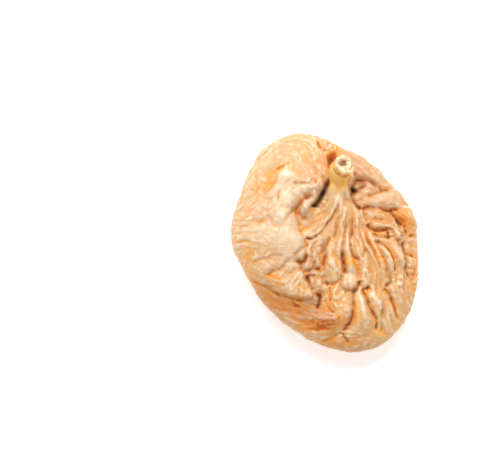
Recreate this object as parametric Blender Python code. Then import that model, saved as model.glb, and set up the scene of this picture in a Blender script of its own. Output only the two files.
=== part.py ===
"""A dried fig that dried lying flat: one folded body with a big lobe, a neck and a cut stem.

The form is worked out in millimetres, with +X right and +Y up as seen from above and +Z up. Its lowest
point is at z = 0, and the mesh is scaled to metres at the end.
"""

import math
from dataclasses import dataclass

import bpy
import numpy as np

MM = 0.001

# The outline's radius every 15 degrees, counter-clockwise from +X
OUTLINE = (20.4, 20.7, 20.1, 19.2, 19.6, 20.9, 23.0, 24.8, 24.6, 22.9, 21.3, 20.8,
           20.3, 19.0, 18.5, 19.0, 19.6, 20.9, 22.9, 24.8, 25.8, 24.7, 23.1, 21.3)
MEAN_RADIUS = 21.6

# Heights of the rim, the crown and the big lobe
RIM_Z = 7.0
CROWN_Z = 12.4
LOBE_Z = 15.2
LOBE_EDGE_ROLL = 2.8

# How square the section is over and under the rim
TOP_POWER = 4.0
UNDER_POWER = 3.6
UNDER_SQUARE = 0.78


def smooth(t):
    """Ease from 0 to 1 with level ends."""
    t = np.clip(t, 0.0, 1.0)
    return t * t * (3 - 2 * t)


def rounded(t):
    """Rise from 0 to 1 like a quarter circle."""
    t = np.clip(t, 0.0, 1.0)
    return np.sqrt(np.clip(t * (2 - t), 0.0, 1.0))


def cubic(a, b, c, d, t):
    """Catmull-Rom value between b and c at share t."""
    return b + 0.5 * t * (c - a + t * (2 * a - 5 * b + 4 * c - d + t * (3 * (b - c) + d - a)))


def outline_radius(turn):
    """Radius of the outline at each turn, in radians."""
    r = np.array(OUTLINE)
    u = (turn / (2 * math.pi)) % 1.0 * len(r)
    i = np.floor(u).astype(int)
    a, b, c, d = (r[(i + k) % len(r)] for k in (-1, 0, 1, 2))
    return cubic(a, b, c, d, u - i)


def turned(dx, dy, degrees):
    """Offsets as seen from axes that are turned counter-clockwise."""
    c, s = math.cos(math.radians(degrees)), math.sin(math.radians(degrees))
    return dx * c + dy * s, dy * c - dx * s


def spline(points, step):
    """A smooth line through the points, as rows of coordinates and any further values."""
    p = np.array(points, float)
    q = np.vstack([2 * p[0] - p[1], p, 2 * p[-1] - p[-2]])
    rows = []
    for a, b, c, d in zip(q, q[1:], q[2:], q[3:]):
        count = max(2, int(np.hypot(*(c - b)[:2]) / step))
        rows.append(cubic(a, b, c, d, np.linspace(0, 1, count, endpoint=False)[:, None]))
    return np.vstack(rows + [p[-1:]])


class Noise:
    """Smooth gradient noise on a hashed lattice, the same on every run."""

    def __init__(self, seed):
        """Draw the lattice's directions from the seed."""
        rng = np.random.default_rng(seed)
        self.order = rng.permutation(512)
        steps = rng.normal(size=(512, 3))
        self.steps = steps / np.linalg.norm(steps, axis=1, keepdims=True)

    def __call__(self, x, y, z=0.0):
        """Values from about -1 to 1 at places in noise cells."""
        x, y, z = np.broadcast_arrays(x, y, z)
        cell = [np.floor(v).astype(int) for v in (x, y, z)]
        part = [v - c for v, c in zip((x, y, z), cell)]
        ease = [f * f * f * (f * (f * 6 - 15) + 10) for f in part]
        total = 0.0
        for corner in range(8):
            ways = (corner & 1, corner >> 1 & 1, corner >> 2 & 1)
            key = self.order[(cell[0] + ways[0]) & 511]
            key = self.order[(key + cell[1] + ways[1]) & 511]
            step = self.steps[self.order[(key + cell[2] + ways[2]) & 511]]
            dot = sum(step[..., k] * (part[k] - ways[k]) for k in range(3))
            share = 1.0
            for e, way in zip(ease, ways):
                share = share * (e if way else 1 - e)
            total = total + share * dot
        return total * 1.6


class Line:
    """A smooth line seen from above, with any further value that each of its points carries."""

    def __init__(self, points, step=0.4):
        """Resample the points as a smooth line."""
        self.rows = spline(points, step)
        self.runs = np.diff(self.rows[:, :2], axis=0)
        self.sizes = np.hypot(self.runs[:, 0], self.runs[:, 1])
        self.starts = np.concatenate([[0.0], np.cumsum(self.sizes)])
        self.length = float(self.starts[-1])

    def near(self, x, y, reach):
        """Points within reach: their indices, distances, places along the line, and +1 on its left or -1."""
        low = self.rows[:, :2].min(0) - reach
        high = self.rows[:, :2].max(0) + reach
        pick = np.flatnonzero((x > low[0]) & (x < high[0]) & (y > low[1]) & (y < high[1]))
        px, py = x[pick], y[pick]
        best = np.full(len(pick), np.inf)
        along = np.zeros(len(pick))
        side = np.ones(len(pick))
        for k, (sx, sy) in enumerate(self.runs):
            dx, dy = px - self.rows[k, 0], py - self.rows[k, 1]
            t = np.clip((dx * sx + dy * sy) / max(self.sizes[k] ** 2, 1e-9), 0, 1)
            d = np.hypot(dx - t * sx, dy - t * sy)
            win = d < best
            best = np.where(win, d, best)
            along = np.where(win, self.starts[k] + t * self.sizes[k], along)
            side = np.where(win, np.where(sx * dy - sy * dx > 0, 1.0, -1.0), side)
        keep = best < reach
        return pick[keep], best[keep], along[keep], side[keep]

    def value(self, along, column):
        """Value that the line carries in a column, at places along it."""
        return np.interp(along, self.starts, self.rows[:, column])

    def taper(self, along, head, tail):
        """Share that rises from 0 over the head and falls to 0 over the tail."""
        head, tail = (max(min(v, 0.45 * self.length), 1e-3) for v in (head, tail))
        return smooth(along / head) * smooth((self.length - along) / tail)


def inside(x, y, outline):
    """Tell which points lie inside a closed outline."""
    hit = np.zeros(len(x), bool)
    for (x0, y0), (x1, y1) in zip(outline, np.roll(outline, -1, axis=0)):
        if y0 != y1:
            crosses = (y0 > y) != (y1 > y)
            hit ^= crosses & (x < (x1 - x0) * (y - y0) / (y1 - y0) + x0)
    return hit


@dataclass(frozen=True)
class Swell:
    """A soft rise, or a dip where rise is negative."""

    x: float
    y: float
    rx: float
    ry: float
    turn: float
    rise: float

    def lift(self, x, y):
        """Height that the swell adds at each point."""
        u, v = turned(x - self.x, y - self.y, self.turn)
        return self.rise * np.exp(-((u / self.rx) ** 2) - (v / self.ry) ** 2)


@dataclass(frozen=True)
class Bulb:
    """A rounded swelling where a pleat ends."""

    x: float
    y: float
    rx: float
    ry: float
    turn: float
    rise: float

    def lift(self, x, y):
        """Height that the bulb adds at each point."""
        u, v = turned(x - self.x, y - self.y, self.turn)
        reach = (u / self.rx) ** 2 + (v / self.ry) ** 2
        return self.rise * np.clip(1 - reach, 0, 1) ** 0.75


@dataclass(frozen=True)
class Roll:
    """A long rounded ridge, or a channel where rise is negative."""

    half: float
    rise: float
    points: tuple

    def lift(self, x, y):
        """Height that the roll adds at each point."""
        line = Line(self.points)
        out = np.zeros(x.shape)
        pick, d, along, _ = line.near(x, y, self.half)
        end = 2.0 * self.half
        out[pick] = self.rise * np.clip(1 - (d / self.half) ** 2, 0, 1) ** 1.3 * line.taper(along, end, end)
        return out


@dataclass(frozen=True)
class Crease:
    """A sharp valley between two puffed shoulders; step lifts its left bank over its right one."""

    half: float
    depth: float
    step: float
    points: tuple
    head: float = 1.4
    tail: float = 1.4

    def cut(self, x, y, wander):
        """The depth cut at each point, and the lift of the crease's banks."""
        line = Line(self.points)
        cut = np.zeros(x.shape)
        lift = np.zeros(x.shape)
        pick, d, along, side = line.near(x, y, self.half * 1.6)
        ends = line.taper(along, self.head, self.tail)
        uneven = 1 + 0.35 * wander(along * 0.55, self.points[0][0], self.points[0][1])
        cut[pick] = self.depth * (1 - rounded(d / self.half)) * ends * uneven
        lift[pick] = self.step * side * smooth(1 - d / (self.half * 1.6)) * ends
        return cut, lift


# Soft rises and dips of the flesh
SWELLS = (
    Swell(2.2, 18.9, 1.6, 1.2, 30, -2.4),
    Swell(6.1, 11.1, 0.9, 0.7, 0, -2.0),
    Swell(7.6, 12.8, 1.7, 1.2, -10, -1.6),
    Swell(17.0, 4.4, 1.3, 2.6, 36, -0.8),
    Swell(6.0, -2.5, 7.5, 6.5, 0, 0.9),
    Swell(-0.2, -2.0, 0.9, 2.6, 0, -0.9),
    Swell(14.0, -5.0, 3.5, 6.0, 20, 0.9),
    Swell(-2.4, -8.0, 2.6, 4.0, 0, -0.8),
    Swell(-9.0, -14.5, 8.0, 2.8, -28, -2.2),
    Swell(-2.0, -14.0, 3.0, 2.0, 0, -1.2),
    Swell(2.5, -17.0, 4.5, 3.5, 0, 0.6),
    Swell(9.5, -15.0, 4.0, 5.0, 0, 0.6),
    Swell(-3.8, -8.3, 0.5, 0.8, 10, -1.6),
    Swell(-4.2, 6.9, 1.7, 2.4, -15, 1.5),
)

# The neck: x, y, half width and level of its back
NECK = ((3.05, 14.6, 2.15, 16.6), (2.9, 13.6, 2.1, 16.5), (2.8, 12.5, 2.05, 15.9), (2.65, 11.2, 2.35, 15.4),
        (2.6, 9.8, 2.95, 15.0), (2.7, 8.0, 4.1, 14.5), (2.9, 5.8, 5.6, 13.9), (3.4, 3.0, 7.0, 13.4),
        (4.2, -1.0, 8.2, 12.8))

# The big lobe's inner edge, and points beyond the rim that close its outline
LOBE_EDGE = ((-2.0, 23.4), (-1.2, 21.6), (0.2, 20.0), (0.9, 18.4), (0.8, 16.2), (1.1, 14.2), (0.7, 12.3),
             (-0.3, 10.5), (-1.5, 8.8), (-3.0, 7.4), (-3.3, 8.4), (-3.9, 9.5), (-5.0, 8.9), (-6.0, 7.4),
             (-6.5, 6.1), (-5.8, 4.6), (-5.7, 2.6), (-4.7, 0.7), (-4.1, -1.0), (-4.0, -2.6), (-4.6, -3.9),
             (-5.9, -4.5), (-5.3, -5.3), (-4.9, -6.6), (-4.3, -7.6), (-3.7, -9.2), (-3.0, -10.6),
             (-2.4, -11.8), (-3.6, -12.6), (-6.0, -12.4), (-8.0, -11.9), (-10.0, -11.1), (-12.0, -10.0),
             (-14.0, -8.9), (-15.6, -7.9), (-17.6, -6.6))
LOBE_BACK = ((-26.0, -8.0), (-30.0, 6.0), (-22.0, 26.0), (-8.0, 32.0), (-1.0, 27.0))

# Soft rises and dips of the lobe's top
LOBE_SWELLS = (
    Swell(-9.0, -8.5, 9.0, 4.5, -25, -1.6),
    Swell(-4.0, -7.0, 2.5, 6.0, 0, -1.0),
    Swell(-12.0, 20.0, 10.0, 4.0, 25, -0.6),
    Swell(-12.8, 13.6, 2.6, 4.4, -38, -0.9),
    Swell(-9.2, 9.0, 2.6, 5.2, -8, 0.9),
    Swell(-7.8, 13.9, 1.8, 1.4, 10, 0.7),
    Swell(-3.6, 11.2, 2.6, 1.7, 20, 0.8),
    Swell(-9.4, 5.6, 2.0, 1.3, 5, 0.5),
    Swell(-8.5, 0.4, 4.2, 3.2, 0, 0.7),
    Swell(-13.8, 4.2, 2.6, 0.9, 15, -0.5),
    Swell(-11.2, 3.4, 1.6, 0.8, 0, -0.4),
    Swell(-16.0, -2.4, 3.5, 1.0, 0, -0.3),
    Swell(-13.6, -6.0, 3.0, 1.0, 12, 0.35),
)

# Rounded ridges: half width, rise and the line that they follow
ROLLS = (
    # rows between the neck and the rim
    Roll(2.3, 0.7, ((8.0, 8.8), (10.4, 8.8), (12.4, 9.3), (14.4, 9.4), (16.6, 9.0), (18.8, 8.4))),
    Roll(1.5, 0.7, ((7.4, 12.2), (8.8, 12.7), (10.4, 12.2), (11.6, 11.6))),
    Roll(1.4, 0.5, ((7.4, 10.6), (9.0, 10.9), (10.6, 11.1))),
    Roll(2.0, 0.8, ((9.2, 5.9), (11.2, 6.1), (13.0, 5.7), (14.6, 5.4))),
    Roll(1.4, 0.7, ((10.2, 4.0), (12.0, 3.7), (13.8, 3.4), (15.2, 2.6), (15.8, 1.4), (16.4, 0.0),
                    (17.0, -1.4))),
    Roll(1.7, 1.0, ((16.0, 7.4), (17.4, 5.9), (18.6, 4.2), (19.3, 2.2))),
    Roll(2.6, 0.9, ((3.6, 20.8), (7.0, 18.4), (10.4, 15.4), (13.4, 12.6), (15.2, 10.6))),
    Roll(1.0, 0.8, ((0.9, 21.8), (1.0, 20.4), (1.2, 19.1), (0.9, 17.9))),
    Roll(1.6, 0.55, ((-11.4, 8.8), (-10.6, 11.0), (-9.8, 12.8), (-8.7, 14.0), (-7.4, 14.3), (-6.2, 13.5))),
    # pleats of the fan
    Roll(1.6, 0.8, ((1.2, 0.2), (1.0, -2.4), (1.2, -4.6), (1.9, -7.4))),
    Roll(1.0, 0.7, ((3.2, 1.4), (3.0, -0.6), (2.7, -2.6), (3.1, -5.0))),
    Roll(1.4, 1.0, ((4.9, 1.6), (4.8, -0.6), (5.0, -2.8), (5.5, -5.4), (5.7, -8.2))),
    Roll(1.2, 0.7, ((7.2, 1.6), (7.6, -0.6), (7.9, -2.6), (8.6, -5.2), (8.8, -8.4))),
    Roll(1.2, 0.7, ((8.4, 2.4), (8.9, -0.4), (9.8, -2.6), (10.6, -4.6), (11.0, -7.4), (11.4, -10.4))),
    Roll(1.4, 0.9, ((9.4, 2.8), (10.1, 0.8), (10.8, -1.4), (11.7, -3.4), (12.6, -5.4), (13.0, -8.0))),
    Roll(1.4, 1.0, ((11.9, 0.2), (12.9, -1.9), (13.7, -3.8), (14.4, -5.6), (14.8, -7.6))),
    Roll(1.8, 0.9, ((14.4, -0.4), (15.6, -2.4), (16.5, -4.4), (16.7, -6.4))),
    # lower pleats
    Roll(2.4, 0.9, ((7.4, -11.4), (7.8, -13.4), (8.2, -16.0), (8.2, -19.0), (7.8, -21.6))),
    Roll(1.3, 0.7, ((10.4, -10.4), (10.8, -12.4), (11.7, -14.6), (12.0, -17.0), (12.1, -19.4))),
    Roll(1.9, 0.7, ((12.9, -12.0), (13.9, -15.0), (14.4, -18.6))),
    Roll(2.6, 0.7, ((-2.4, -16.4), (0.6, -17.2), (3.4, -16.2), (4.8, -13.6), (4.8, -11.6))),
    Roll(1.8, 0.6, ((-6.0, -20.6), (-2.6, -20.0), (0.6, -19.8), (2.8, -19.0))),
)

# Valleys: half width, depth, step of the banks, line, and how long the two ends taper
CREASES = (
    # gap under the big lobe and along the neck
    Crease(1.2, 3.4, 0, ((0.9, 13.6), (0.5, 11.9), (-0.4, 10.2), (-1.5, 8.6), (-3.0, 7.4)), 1.6, 0.5),
    Crease(1.1, 2.0, 0, ((5.6, 10.8), (6.0, 9.7), (6.6, 8.6), (7.3, 7.6), (8.0, 6.8)), 0.4, 0.4),
    Crease(1.1, 1.0, 0, ((8.3, 6.4), (8.8, 5.2), (9.3, 4.0)), 0.6, 0.6),
    Crease(1.0, 1.3, 0, ((0.6, 16.0), (1.0, 17.0), (1.8, 17.9), (2.9, 18.4), (4.0, 18.6)), 0.4, 0.8),
    # edge of the big lobe's inner puff, and its foot
    Crease(2.2, 0.5, -0.2, ((-13.8, 9.8), (-12.4, 10.6), (-11.5, 11.5), (-10.9, 12.6), (-10.4, 13.8),
                            (-9.8, 14.8), (-9.0, 15.9), (-7.8, 16.7), (-6.0, 17.0)), 1.4, 2.4),
    Crease(1.1, 0.4, 0, ((-11.4, 15.5), (-10.2, 15.7), (-9.2, 16.3), (-8.2, 16.9)), 1.0, 0.8),
    Crease(1.4, 0.35, 0, ((-12.1, 9.9), (-12.5, 8.3), (-12.6, 6.6), (-12.9, 5.4)), 1.0, 0.8),
    Crease(1.3, 0.35, 0, ((-12.7, 5.6), (-12.0, 4.6), (-11.8, 3.2)), 0.4, 1.2),
    Crease(1.3, 0.35, 0, ((-9.9, 11.4), (-10.0, 10.0), (-10.3, 8.9), (-10.8, 7.9)), 1.0, 1.0),
    # folds on the puff
    Crease(1.3, 0.9, 0.2, ((-7.2, 11.9), (-6.4, 12.1), (-5.0, 12.4), (-3.6, 12.5), (-2.6, 13.0)), 0.8, 0.4),
    Crease(0.8, 0.5, 0, ((-2.9, 12.6), (-2.4, 13.1), (-2.1, 12.7), (-1.8, 12.1)), 0.4, 0.8),
    Crease(0.9, 0.4, 0, ((-7.6, 11.0), (-6.8, 11.2), (-6.2, 11.7))),
    Crease(1.4, 0.35, 0, ((-7.0, 11.4), (-6.8, 10.0), (-6.9, 8.6), (-7.6, 7.4))),
    Crease(1.3, 0.3, 0, ((-10.2, 7.6), (-9.0, 7.0), (-7.6, 7.0))),
    Crease(0.9, 0.6, 0, ((-0.8, 14.2), (-0.4, 13.2), (0.0, 12.2)), 0.6, 0.6),
    # edge of the lobe over the small fold at its foot
    Crease(1.1, 1.5, 0, ((-4.9, 9.2), (-5.4, 8.5), (-5.9, 7.6), (-6.6, 6.7), (-7.6, 5.9)), 0.6, 0.4),
    Crease(1.1, 0.7, 0, ((-6.9, 6.1), (-7.8, 5.6), (-8.4, 4.8), (-8.8, 3.8)), 0.2, 1.4),
    Crease(0.9, 0.8, 0, ((-6.8, 6.2), (-5.8, 6.0), (-5.2, 5.5), (-4.6, 4.9), (-3.8, 4.3)), 0.3, 1.0),
    Crease(0.9, 0.7, 0, ((-4.9, 9.1), (-4.2, 9.7), (-3.4, 9.8), (-2.8, 9.3), (-2.7, 8.6)), 0.4, 0.6),
    Crease(0.8, 0.8, 0, ((-4.6, 7.3), (-4.4, 6.2), (-4.3, 5.2)), 0.8, 0.4),
    # long lines on the lobe
    Crease(1.0, 0.5, 0.1, ((-16.4, -4.9), (-15.2, -4.4), (-14.0, -3.9), (-13.2, -4.0), (-12.4, -3.8),
                           (-11.6, -3.3), (-10.2, -3.3), (-8.6, -3.4)), 1.4, 1.4),
    Crease(1.6, 0.55, 0.2, ((-13.4, -7.8), (-12.4, -7.2), (-11.4, -6.5), (-10.4, -6.4), (-9.6, -5.9),
                            (-8.8, -5.0), (-8.2, -4.2), (-7.2, -3.6)), 1.4, 1.0),
    Crease(1.0, 0.6, 0.1, ((-7.0, -3.8), (-6.2, -2.8), (-5.2, -2.0), (-4.3, -1.4)), 0.8, 0.2),
    Crease(1.1, 1.5, 0, ((-6.1, -4.2), (-5.3, -4.6), (-4.6, -4.3), (-4.1, -3.6), (-3.9, -2.8)), 0.4, 0.6),
    Crease(1.0, 1.3, 0, ((-5.3, -4.7), (-5.1, -5.6), (-5.1, -6.7)), 0.2, 0.6),
    # streaks of the lobe's top and right side
    Crease(1.0, 0.35, 0, ((-9.0, 22.9), (-7.0, 23.1), (-5.0, 22.9), (-3.4, 22.5)), 2.0, 1.0),
    Crease(1.0, 0.45, 0, ((-8.6, 21.8), (-6.4, 21.8), (-4.6, 21.3), (-3.6, 20.1), (-3.0, 18.6),
                          (-2.6, 17.0), (-2.0, 15.2), (-1.6, 13.9)), 2.0, 1.4),
    Crease(0.9, 0.4, 0, ((-7.8, 20.3), (-6.2, 20.2), (-5.2, 19.5), (-4.4, 18.3), (-3.8, 17.2),
                         (-3.2, 16.0)), 1.6, 1.2),
    Crease(0.9, 0.4, 0, ((-2.2, 21.4), (-1.5, 19.8), (-1.0, 18.0), (-0.7, 16.0), (-0.8, 14.4)), 1.2, 1.2),
    Crease(0.8, 0.4, 0, ((-0.3, 19.4), (0.1, 17.6), (0.0, 15.8), (0.3, 14.0)), 1.2, 1.0),
    Crease(1.0, 0.35, 0, ((-10.6, 18.5), (-8.6, 18.5), (-6.8, 18.2), (-5.4, 17.5)), 1.6, 1.2),
    Crease(1.2, 0.35, 0, ((-15.6, 16.6), (-14.2, 18.4), (-12.4, 19.8), (-10.2, 20.8)), 1.8, 1.6),
    Crease(1.1, 0.4, 0, ((-18.6, 8.4), (-16.8, 9.2), (-15.2, 10.6), (-14.2, 12.2)), 1.8, 1.4),
    Crease(1.1, 0.35, 0, ((-19.4, 2.6), (-17.4, 3.2), (-15.8, 4.4), (-14.6, 5.6)), 1.8, 1.4),
    Crease(1.0, 0.4, 0, ((-15.2, 3.0), (-14.2, 4.0), (-13.2, 4.8)), 0.8, 0.8),
    Crease(1.1, 0.3, 0, ((-19.6, -0.6), (-17.6, -0.2), (-15.4, -0.4)), 1.6, 1.2),
    Crease(1.0, 0.3, 0, ((-13.2, 1.0), (-12.0, 0.4), (-11.6, -0.8)), 0.8, 0.8),
    # the neck's left wing
    Crease(1.4, 1.1, -0.25, ((2.8, 8.2), (2.4, 6.9), (1.8, 5.6), (1.0, 4.4), (0.3, 3.3), (-0.5, 2.2),
                             (-1.4, 1.3)), 2.4, 0.3),
    Crease(1.1, 1.5, 0, ((-1.3, 1.4), (-1.9, 0.9), (-2.6, 0.4), (-3.5, 0.4), (-4.3, 0.7)), 0.3, 0.3),
    Crease(0.8, 0.5, 0, ((0.7, 7.1), (0.0, 6.4), (-1.0, 5.7), (-2.2, 4.9)), 1.2, 1.0),
    Crease(0.8, 0.45, 0, ((1.4, 6.8), (0.5, 5.8), (-0.6, 5.0), (-1.8, 4.0), (-3.2, 3.3)), 1.4, 1.0),
    Crease(0.8, 0.45, 0, ((1.6, 5.6), (0.4, 4.2), (-1.0, 2.9), (-2.4, 2.2), (-4.2, 1.9)), 1.4, 0.8),
    Crease(0.8, 0.4, 0, ((-0.2, 8.0), (-1.6, 6.8), (-3.0, 6.2)), 1.2, 0.8),
    Crease(0.8, 0.4, 0, ((-1.6, 4.0), (-3.0, 2.9), (-5.2, 2.6)), 1.0, 0.6),
    # pleats of the fan
    Crease(1.2, 1.0, 0.1, ((3.4, 6.2), (3.1, 4.8), (2.8, 3.6), (2.6, 2.4), (2.3, 1.2),
                           (1.8, 0.2)), 2.4, 0.8),
    Crease(1.1, 1.0, 0.1, ((1.6, 0.9), (0.9, 0.0), (0.5, -1.0), (0.1, -2.2), (0.0, -3.4), (-0.3, -4.6),
                           (-0.5, -6.2)), 0.8, 1.0),
    Crease(0.9, 0.5, 0, ((1.2, -0.6), (1.4, -1.8), (1.8, -3.0), (2.2, -4.2)), 0.8, 0.8),
    Crease(0.8, 0.6, 0, ((3.5, 2.6), (3.2, 1.6), (2.9, 0.4), (2.5, -0.8), (2.2, -2.0)), 0.8, 0.8),
    Crease(1.0, 1.0, 0, ((4.9, 4.2), (4.8, 3.0), (4.6, 2.0), (4.3, 0.8), (4.1, -0.6),
                         (3.8, -1.8)), 1.4, 0.8),
    Crease(1.0, 1.8, 0, ((3.8, -1.8), (3.7, -2.8), (3.8, -3.8), (4.1, -4.8), (4.2, -6.0),
                         (4.3, -7.4)), 1.6, 0.4),
    Crease(1.2, 1.5, 0.1, ((5.7, 6.0), (5.8, 4.4), (5.9, 2.8), (5.8, 1.2), (5.5, -0.2), (5.6, -1.4),
                           (5.9, -2.5),
                           (6.3, -3.4), (7.0, -4.1), (7.9, -4.4)), 2.4, 0.6),
    Crease(0.9, 0.9, 0, ((6.3, 4.0), (6.4, 2.6), (6.4, 1.2), (6.6, 0.2), (7.0, -0.8),
                         (7.3, -1.6)), 1.2, 0.8),
    Crease(0.8, 0.5, 0, ((7.0, 5.6), (7.4, 3.6), (7.5, 1.8), (7.7, 0.0)), 1.4, 1.0),
    Crease(0.9, 0.7, 0, ((7.6, 6.4), (8.1, 4.6), (8.3, 3.0), (8.4, 1.6)), 1.4, 0.8),
    Crease(0.9, 0.8, 0, ((8.7, -1.6), (8.4, -2.8), (8.2, -3.9)), 0.8, 0.3),
    Crease(0.8, 0.5, 0, ((5.3, 3.4), (5.2, 2.0), (5.1, 0.6), (4.9, -0.6)), 1.0, 0.8),
    Crease(1.0, 0.9, -0.1, ((8.9, 3.4), (9.2, 1.4), (9.6, -0.4), (10.1, -2.0), (10.8, -3.5),
                            (11.5, -4.9), (12.1, -6.0)), 1.6, 0.5),
    Crease(1.1, 1.1, 0, ((10.9, 0.8), (11.4, -0.9), (11.9, -2.1), (12.4, -3.3), (12.9, -4.7),
                         (13.4, -6.0), (13.6, -7.0)), 0.8, 0.4),
    Crease(1.1, 0.8, 0, ((12.1, -5.8), (12.9, -6.1), (13.4, -6.8), (13.8, -7.6)), 0.4, 0.4),
    Crease(0.9, 0.6, 0, ((9.0, -5.8), (9.3, -6.6), (9.8, -7.4)), 0.4, 0.6),
    Crease(1.0, 0.7, 0, ((10.9, -4.8), (11.0, -6.2), (11.3, -7.6), (11.2, -9.2), (11.4, -10.8),
                         (11.7, -12.2)), 1.0, 0.8),
    Crease(1.0, 0.7, 0, ((7.5, -5.0), (7.4, -6.6), (7.5, -8.4)), 0.8, 0.3),
    Crease(0.8, 0.4, 0, ((9.6, -2.6), (10.2, -4.2), (10.6, -5.8)), 0.8, 0.8),
    # right of the fan
    Crease(1.5, 1.6, -0.35, ((11.1, -0.2), (12.0, -0.6), (13.0, -1.2), (13.7, -2.1), (14.3, -3.2),
                             (14.8, -4.5),
                             (15.1, -5.8), (15.3, -7.0)), 0.5, 0.8),
    Crease(1.2, 1.1, 0, ((15.3, 0.7), (16.0, 0.0), (16.4, -0.8), (16.8, -1.7)), 0.6, 0.6),
    Crease(1.4, 1.5, 0.2, ((17.2, 0.4), (17.4, -1.0), (17.6, -2.4), (17.8, -3.8), (18.1, -5.0),
                           (17.9, -6.0),
                           (18.1, -7.0), (18.7, -8.0), (19.5, -8.9)), 0.8, 1.2),
    Crease(1.1, 1.2, 0, ((17.5, -2.8), (18.2, -2.9), (19.0, -3.3), (20.0, -3.8)), 0.3, 1.0),
    Crease(1.0, 0.9, 0, ((15.3, -6.8), (15.8, -6.8), (16.4, -6.7)), 0.3, 0.4),
    Crease(1.0, 0.9, 0, ((15.4, -7.0), (15.9, -7.7), (15.8, -8.6), (15.3, -9.4)), 0.2, 0.6),
    Crease(1.0, 0.8, 0, ((18.0, -7.4), (17.7, -8.8), (17.5, -10.2), (17.3, -11.8)), 0.6, 1.0),
    Crease(1.2, 1.4, 0, ((13.6, -7.3), (14.2, -8.1), (14.4, -8.8), (13.8, -9.5), (13.2, -10.2)), 0.5, 0.3),
    Crease(1.5, 1.4, 0.2, ((13.2, -10.2), (14.0, -11.2), (14.7, -12.4), (15.1, -13.8), (15.5, -15.3),
                           (16.0, -16.6), (16.5, -18.0)), 0.3, 1.6),
    Crease(0.9, 0.5, 0, ((12.4, -8.2), (12.2, -9.6), (12.6, -11.0)), 0.8, 0.8),
    # lower pleats
    Crease(1.2, 1.9, 0, ((5.6, -11.0), (6.4, -10.9), (7.1, -10.2), (7.6, -9.2), (7.6, -8.6)), 0.3, 0.4),
    Crease(1.5, 1.6, 0.2, ((6.2, -11.0), (6.3, -12.4), (6.4, -14.0), (6.4, -15.6), (6.2, -17.2),
                           (5.7, -18.1),
                           (4.9, -19.2), (4.0, -20.2)), 0.3, 0.4),
    Crease(1.2, 1.1, 0, ((4.0, -20.2), (4.3, -21.1), (4.9, -22.0), (5.2, -22.9)), 0.3, 1.2),
    Crease(1.2, 0.8, 0, ((4.0, -20.1), (2.6, -20.8), (1.0, -21.5), (-1.2, -21.8)), 0.3, 1.4),
    Crease(0.8, 0.4, 0, ((4.4, -22.8), (5.6, -22.4), (6.6, -22.4)), 0.5, 0.6),
    Crease(1.6, 1.6, -0.25, ((9.9, -9.9), (9.2, -10.3), (8.4, -10.9), (8.9, -11.9), (9.3, -13.0),
                             (9.6, -14.2),
                             (10.1, -15.2), (10.8, -16.2), (11.3, -17.3), (11.5, -18.6),
                             (11.4, -20.4)), 0.3, 1.8),
    Crease(0.9, 0.6, 0, ((10.4, -17.4), (10.5, -18.6), (10.4, -20.0)), 0.8, 0.8),
    Crease(0.9, 0.5, 0, ((9.9, -19.6), (9.6, -20.6), (9.2, -21.4)), 0.6, 0.8),
    Crease(1.2, 0.9, 0, ((12.2, -14.6), (12.4, -16.2), (12.5, -17.6), (12.7, -19.0),
                         (12.6, -20.6)), 0.8, 1.2),
    Crease(0.9, 0.5, 0, ((13.4, -13.0), (13.8, -14.8), (14.3, -16.8), (14.6, -18.8)), 1.2, 1.4),
    Crease(0.9, 0.4, 0, ((7.5, -12.4), (7.6, -15.0), (7.9, -17.6)), 1.4, 1.6),
    Crease(0.9, 0.4, 0, ((8.7, -12.6), (8.9, -14.8), (9.5, -17.0)), 1.4, 1.6),
    Crease(0.9, 0.4, 0, ((6.6, -21.2), (8.0, -21.0), (9.4, -20.6)), 0.8, 0.8),
    # round the knobs
    Crease(0.9, 1.4, 0, ((0.0, -8.8), (0.5, -9.2), (1.2, -9.7)), 0.3, 0.3),
    Crease(1.1, 0.9, 0, ((1.2, -9.7), (1.9, -9.4), (2.7, -8.9), (3.3, -8.3), (3.6, -7.4)), 0.2, 0.4),
    Crease(1.1, 0.8, 0, ((3.9, -7.6), (3.7, -8.7), (3.8, -9.9), (4.3, -10.4), (5.1, -10.7),
                         (5.8, -10.8)), 0.4, 0.2),
    Crease(0.9, 0.8, 0, ((2.6, -10.5), (3.2, -10.9), (3.9, -11.1)), 0.3, 0.4),
    Crease(0.9, 0.9, 0, ((7.6, -9.2), (8.0, -10.2), (8.4, -10.9)), 0.3, 0.2),
    Crease(1.0, 1.0, 0, ((1.4, -9.8), (1.1, -11.0), (1.0, -12.2), (1.1, -13.4)), 0.3, 0.6),
    Crease(0.9, 0.6, 0, ((2.6, -10.6), (2.8, -11.8), (3.2, -13.0), (3.0, -14.4)), 0.4, 0.8),
    Crease(0.8, 0.5, 0, ((-0.2, -9.8), (-0.1, -11.0), (0.1, -12.6), (0.4, -14.0)), 0.4, 0.8),
    Crease(0.8, 0.6, 0, ((0.4, -14.2), (1.2, -15.0), (1.9, -15.6)), 0.6, 0.4),
    Crease(1.1, 2.0, 0, ((-1.9, -11.8), (-1.2, -11.9), (-1.0, -12.8), (-1.3, -14.0),
                         (-1.9, -15.1)), 0.3, 0.7),
    Crease(0.9, 1.1, 0, ((-4.1, -7.5), (-3.7, -8.3), (-3.4, -9.3), (-2.9, -10.4), (-2.0, -11.0)), 0.3, 0.5),
    Crease(0.9, 0.9, 0, ((-3.8, -7.5), (-2.8, -7.6), (-2.0, -7.6)), 0.2, 0.4),
    Crease(0.9, 0.8, 0, ((-2.5, -11.4), (-1.4, -11.7), (-0.6, -11.5), (-0.2, -10.9)), 0.3, 0.4),
    Crease(0.8, 0.5, 0, ((-2.4, -7.9), (-2.3, -9.0), (-2.5, -10.0)), 0.5, 0.5),
    Crease(1.0, 1.2, 0, ((-2.4, -6.0), (-1.6, -6.1), (-0.9, -6.3)), 0.3, 0.4),
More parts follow.
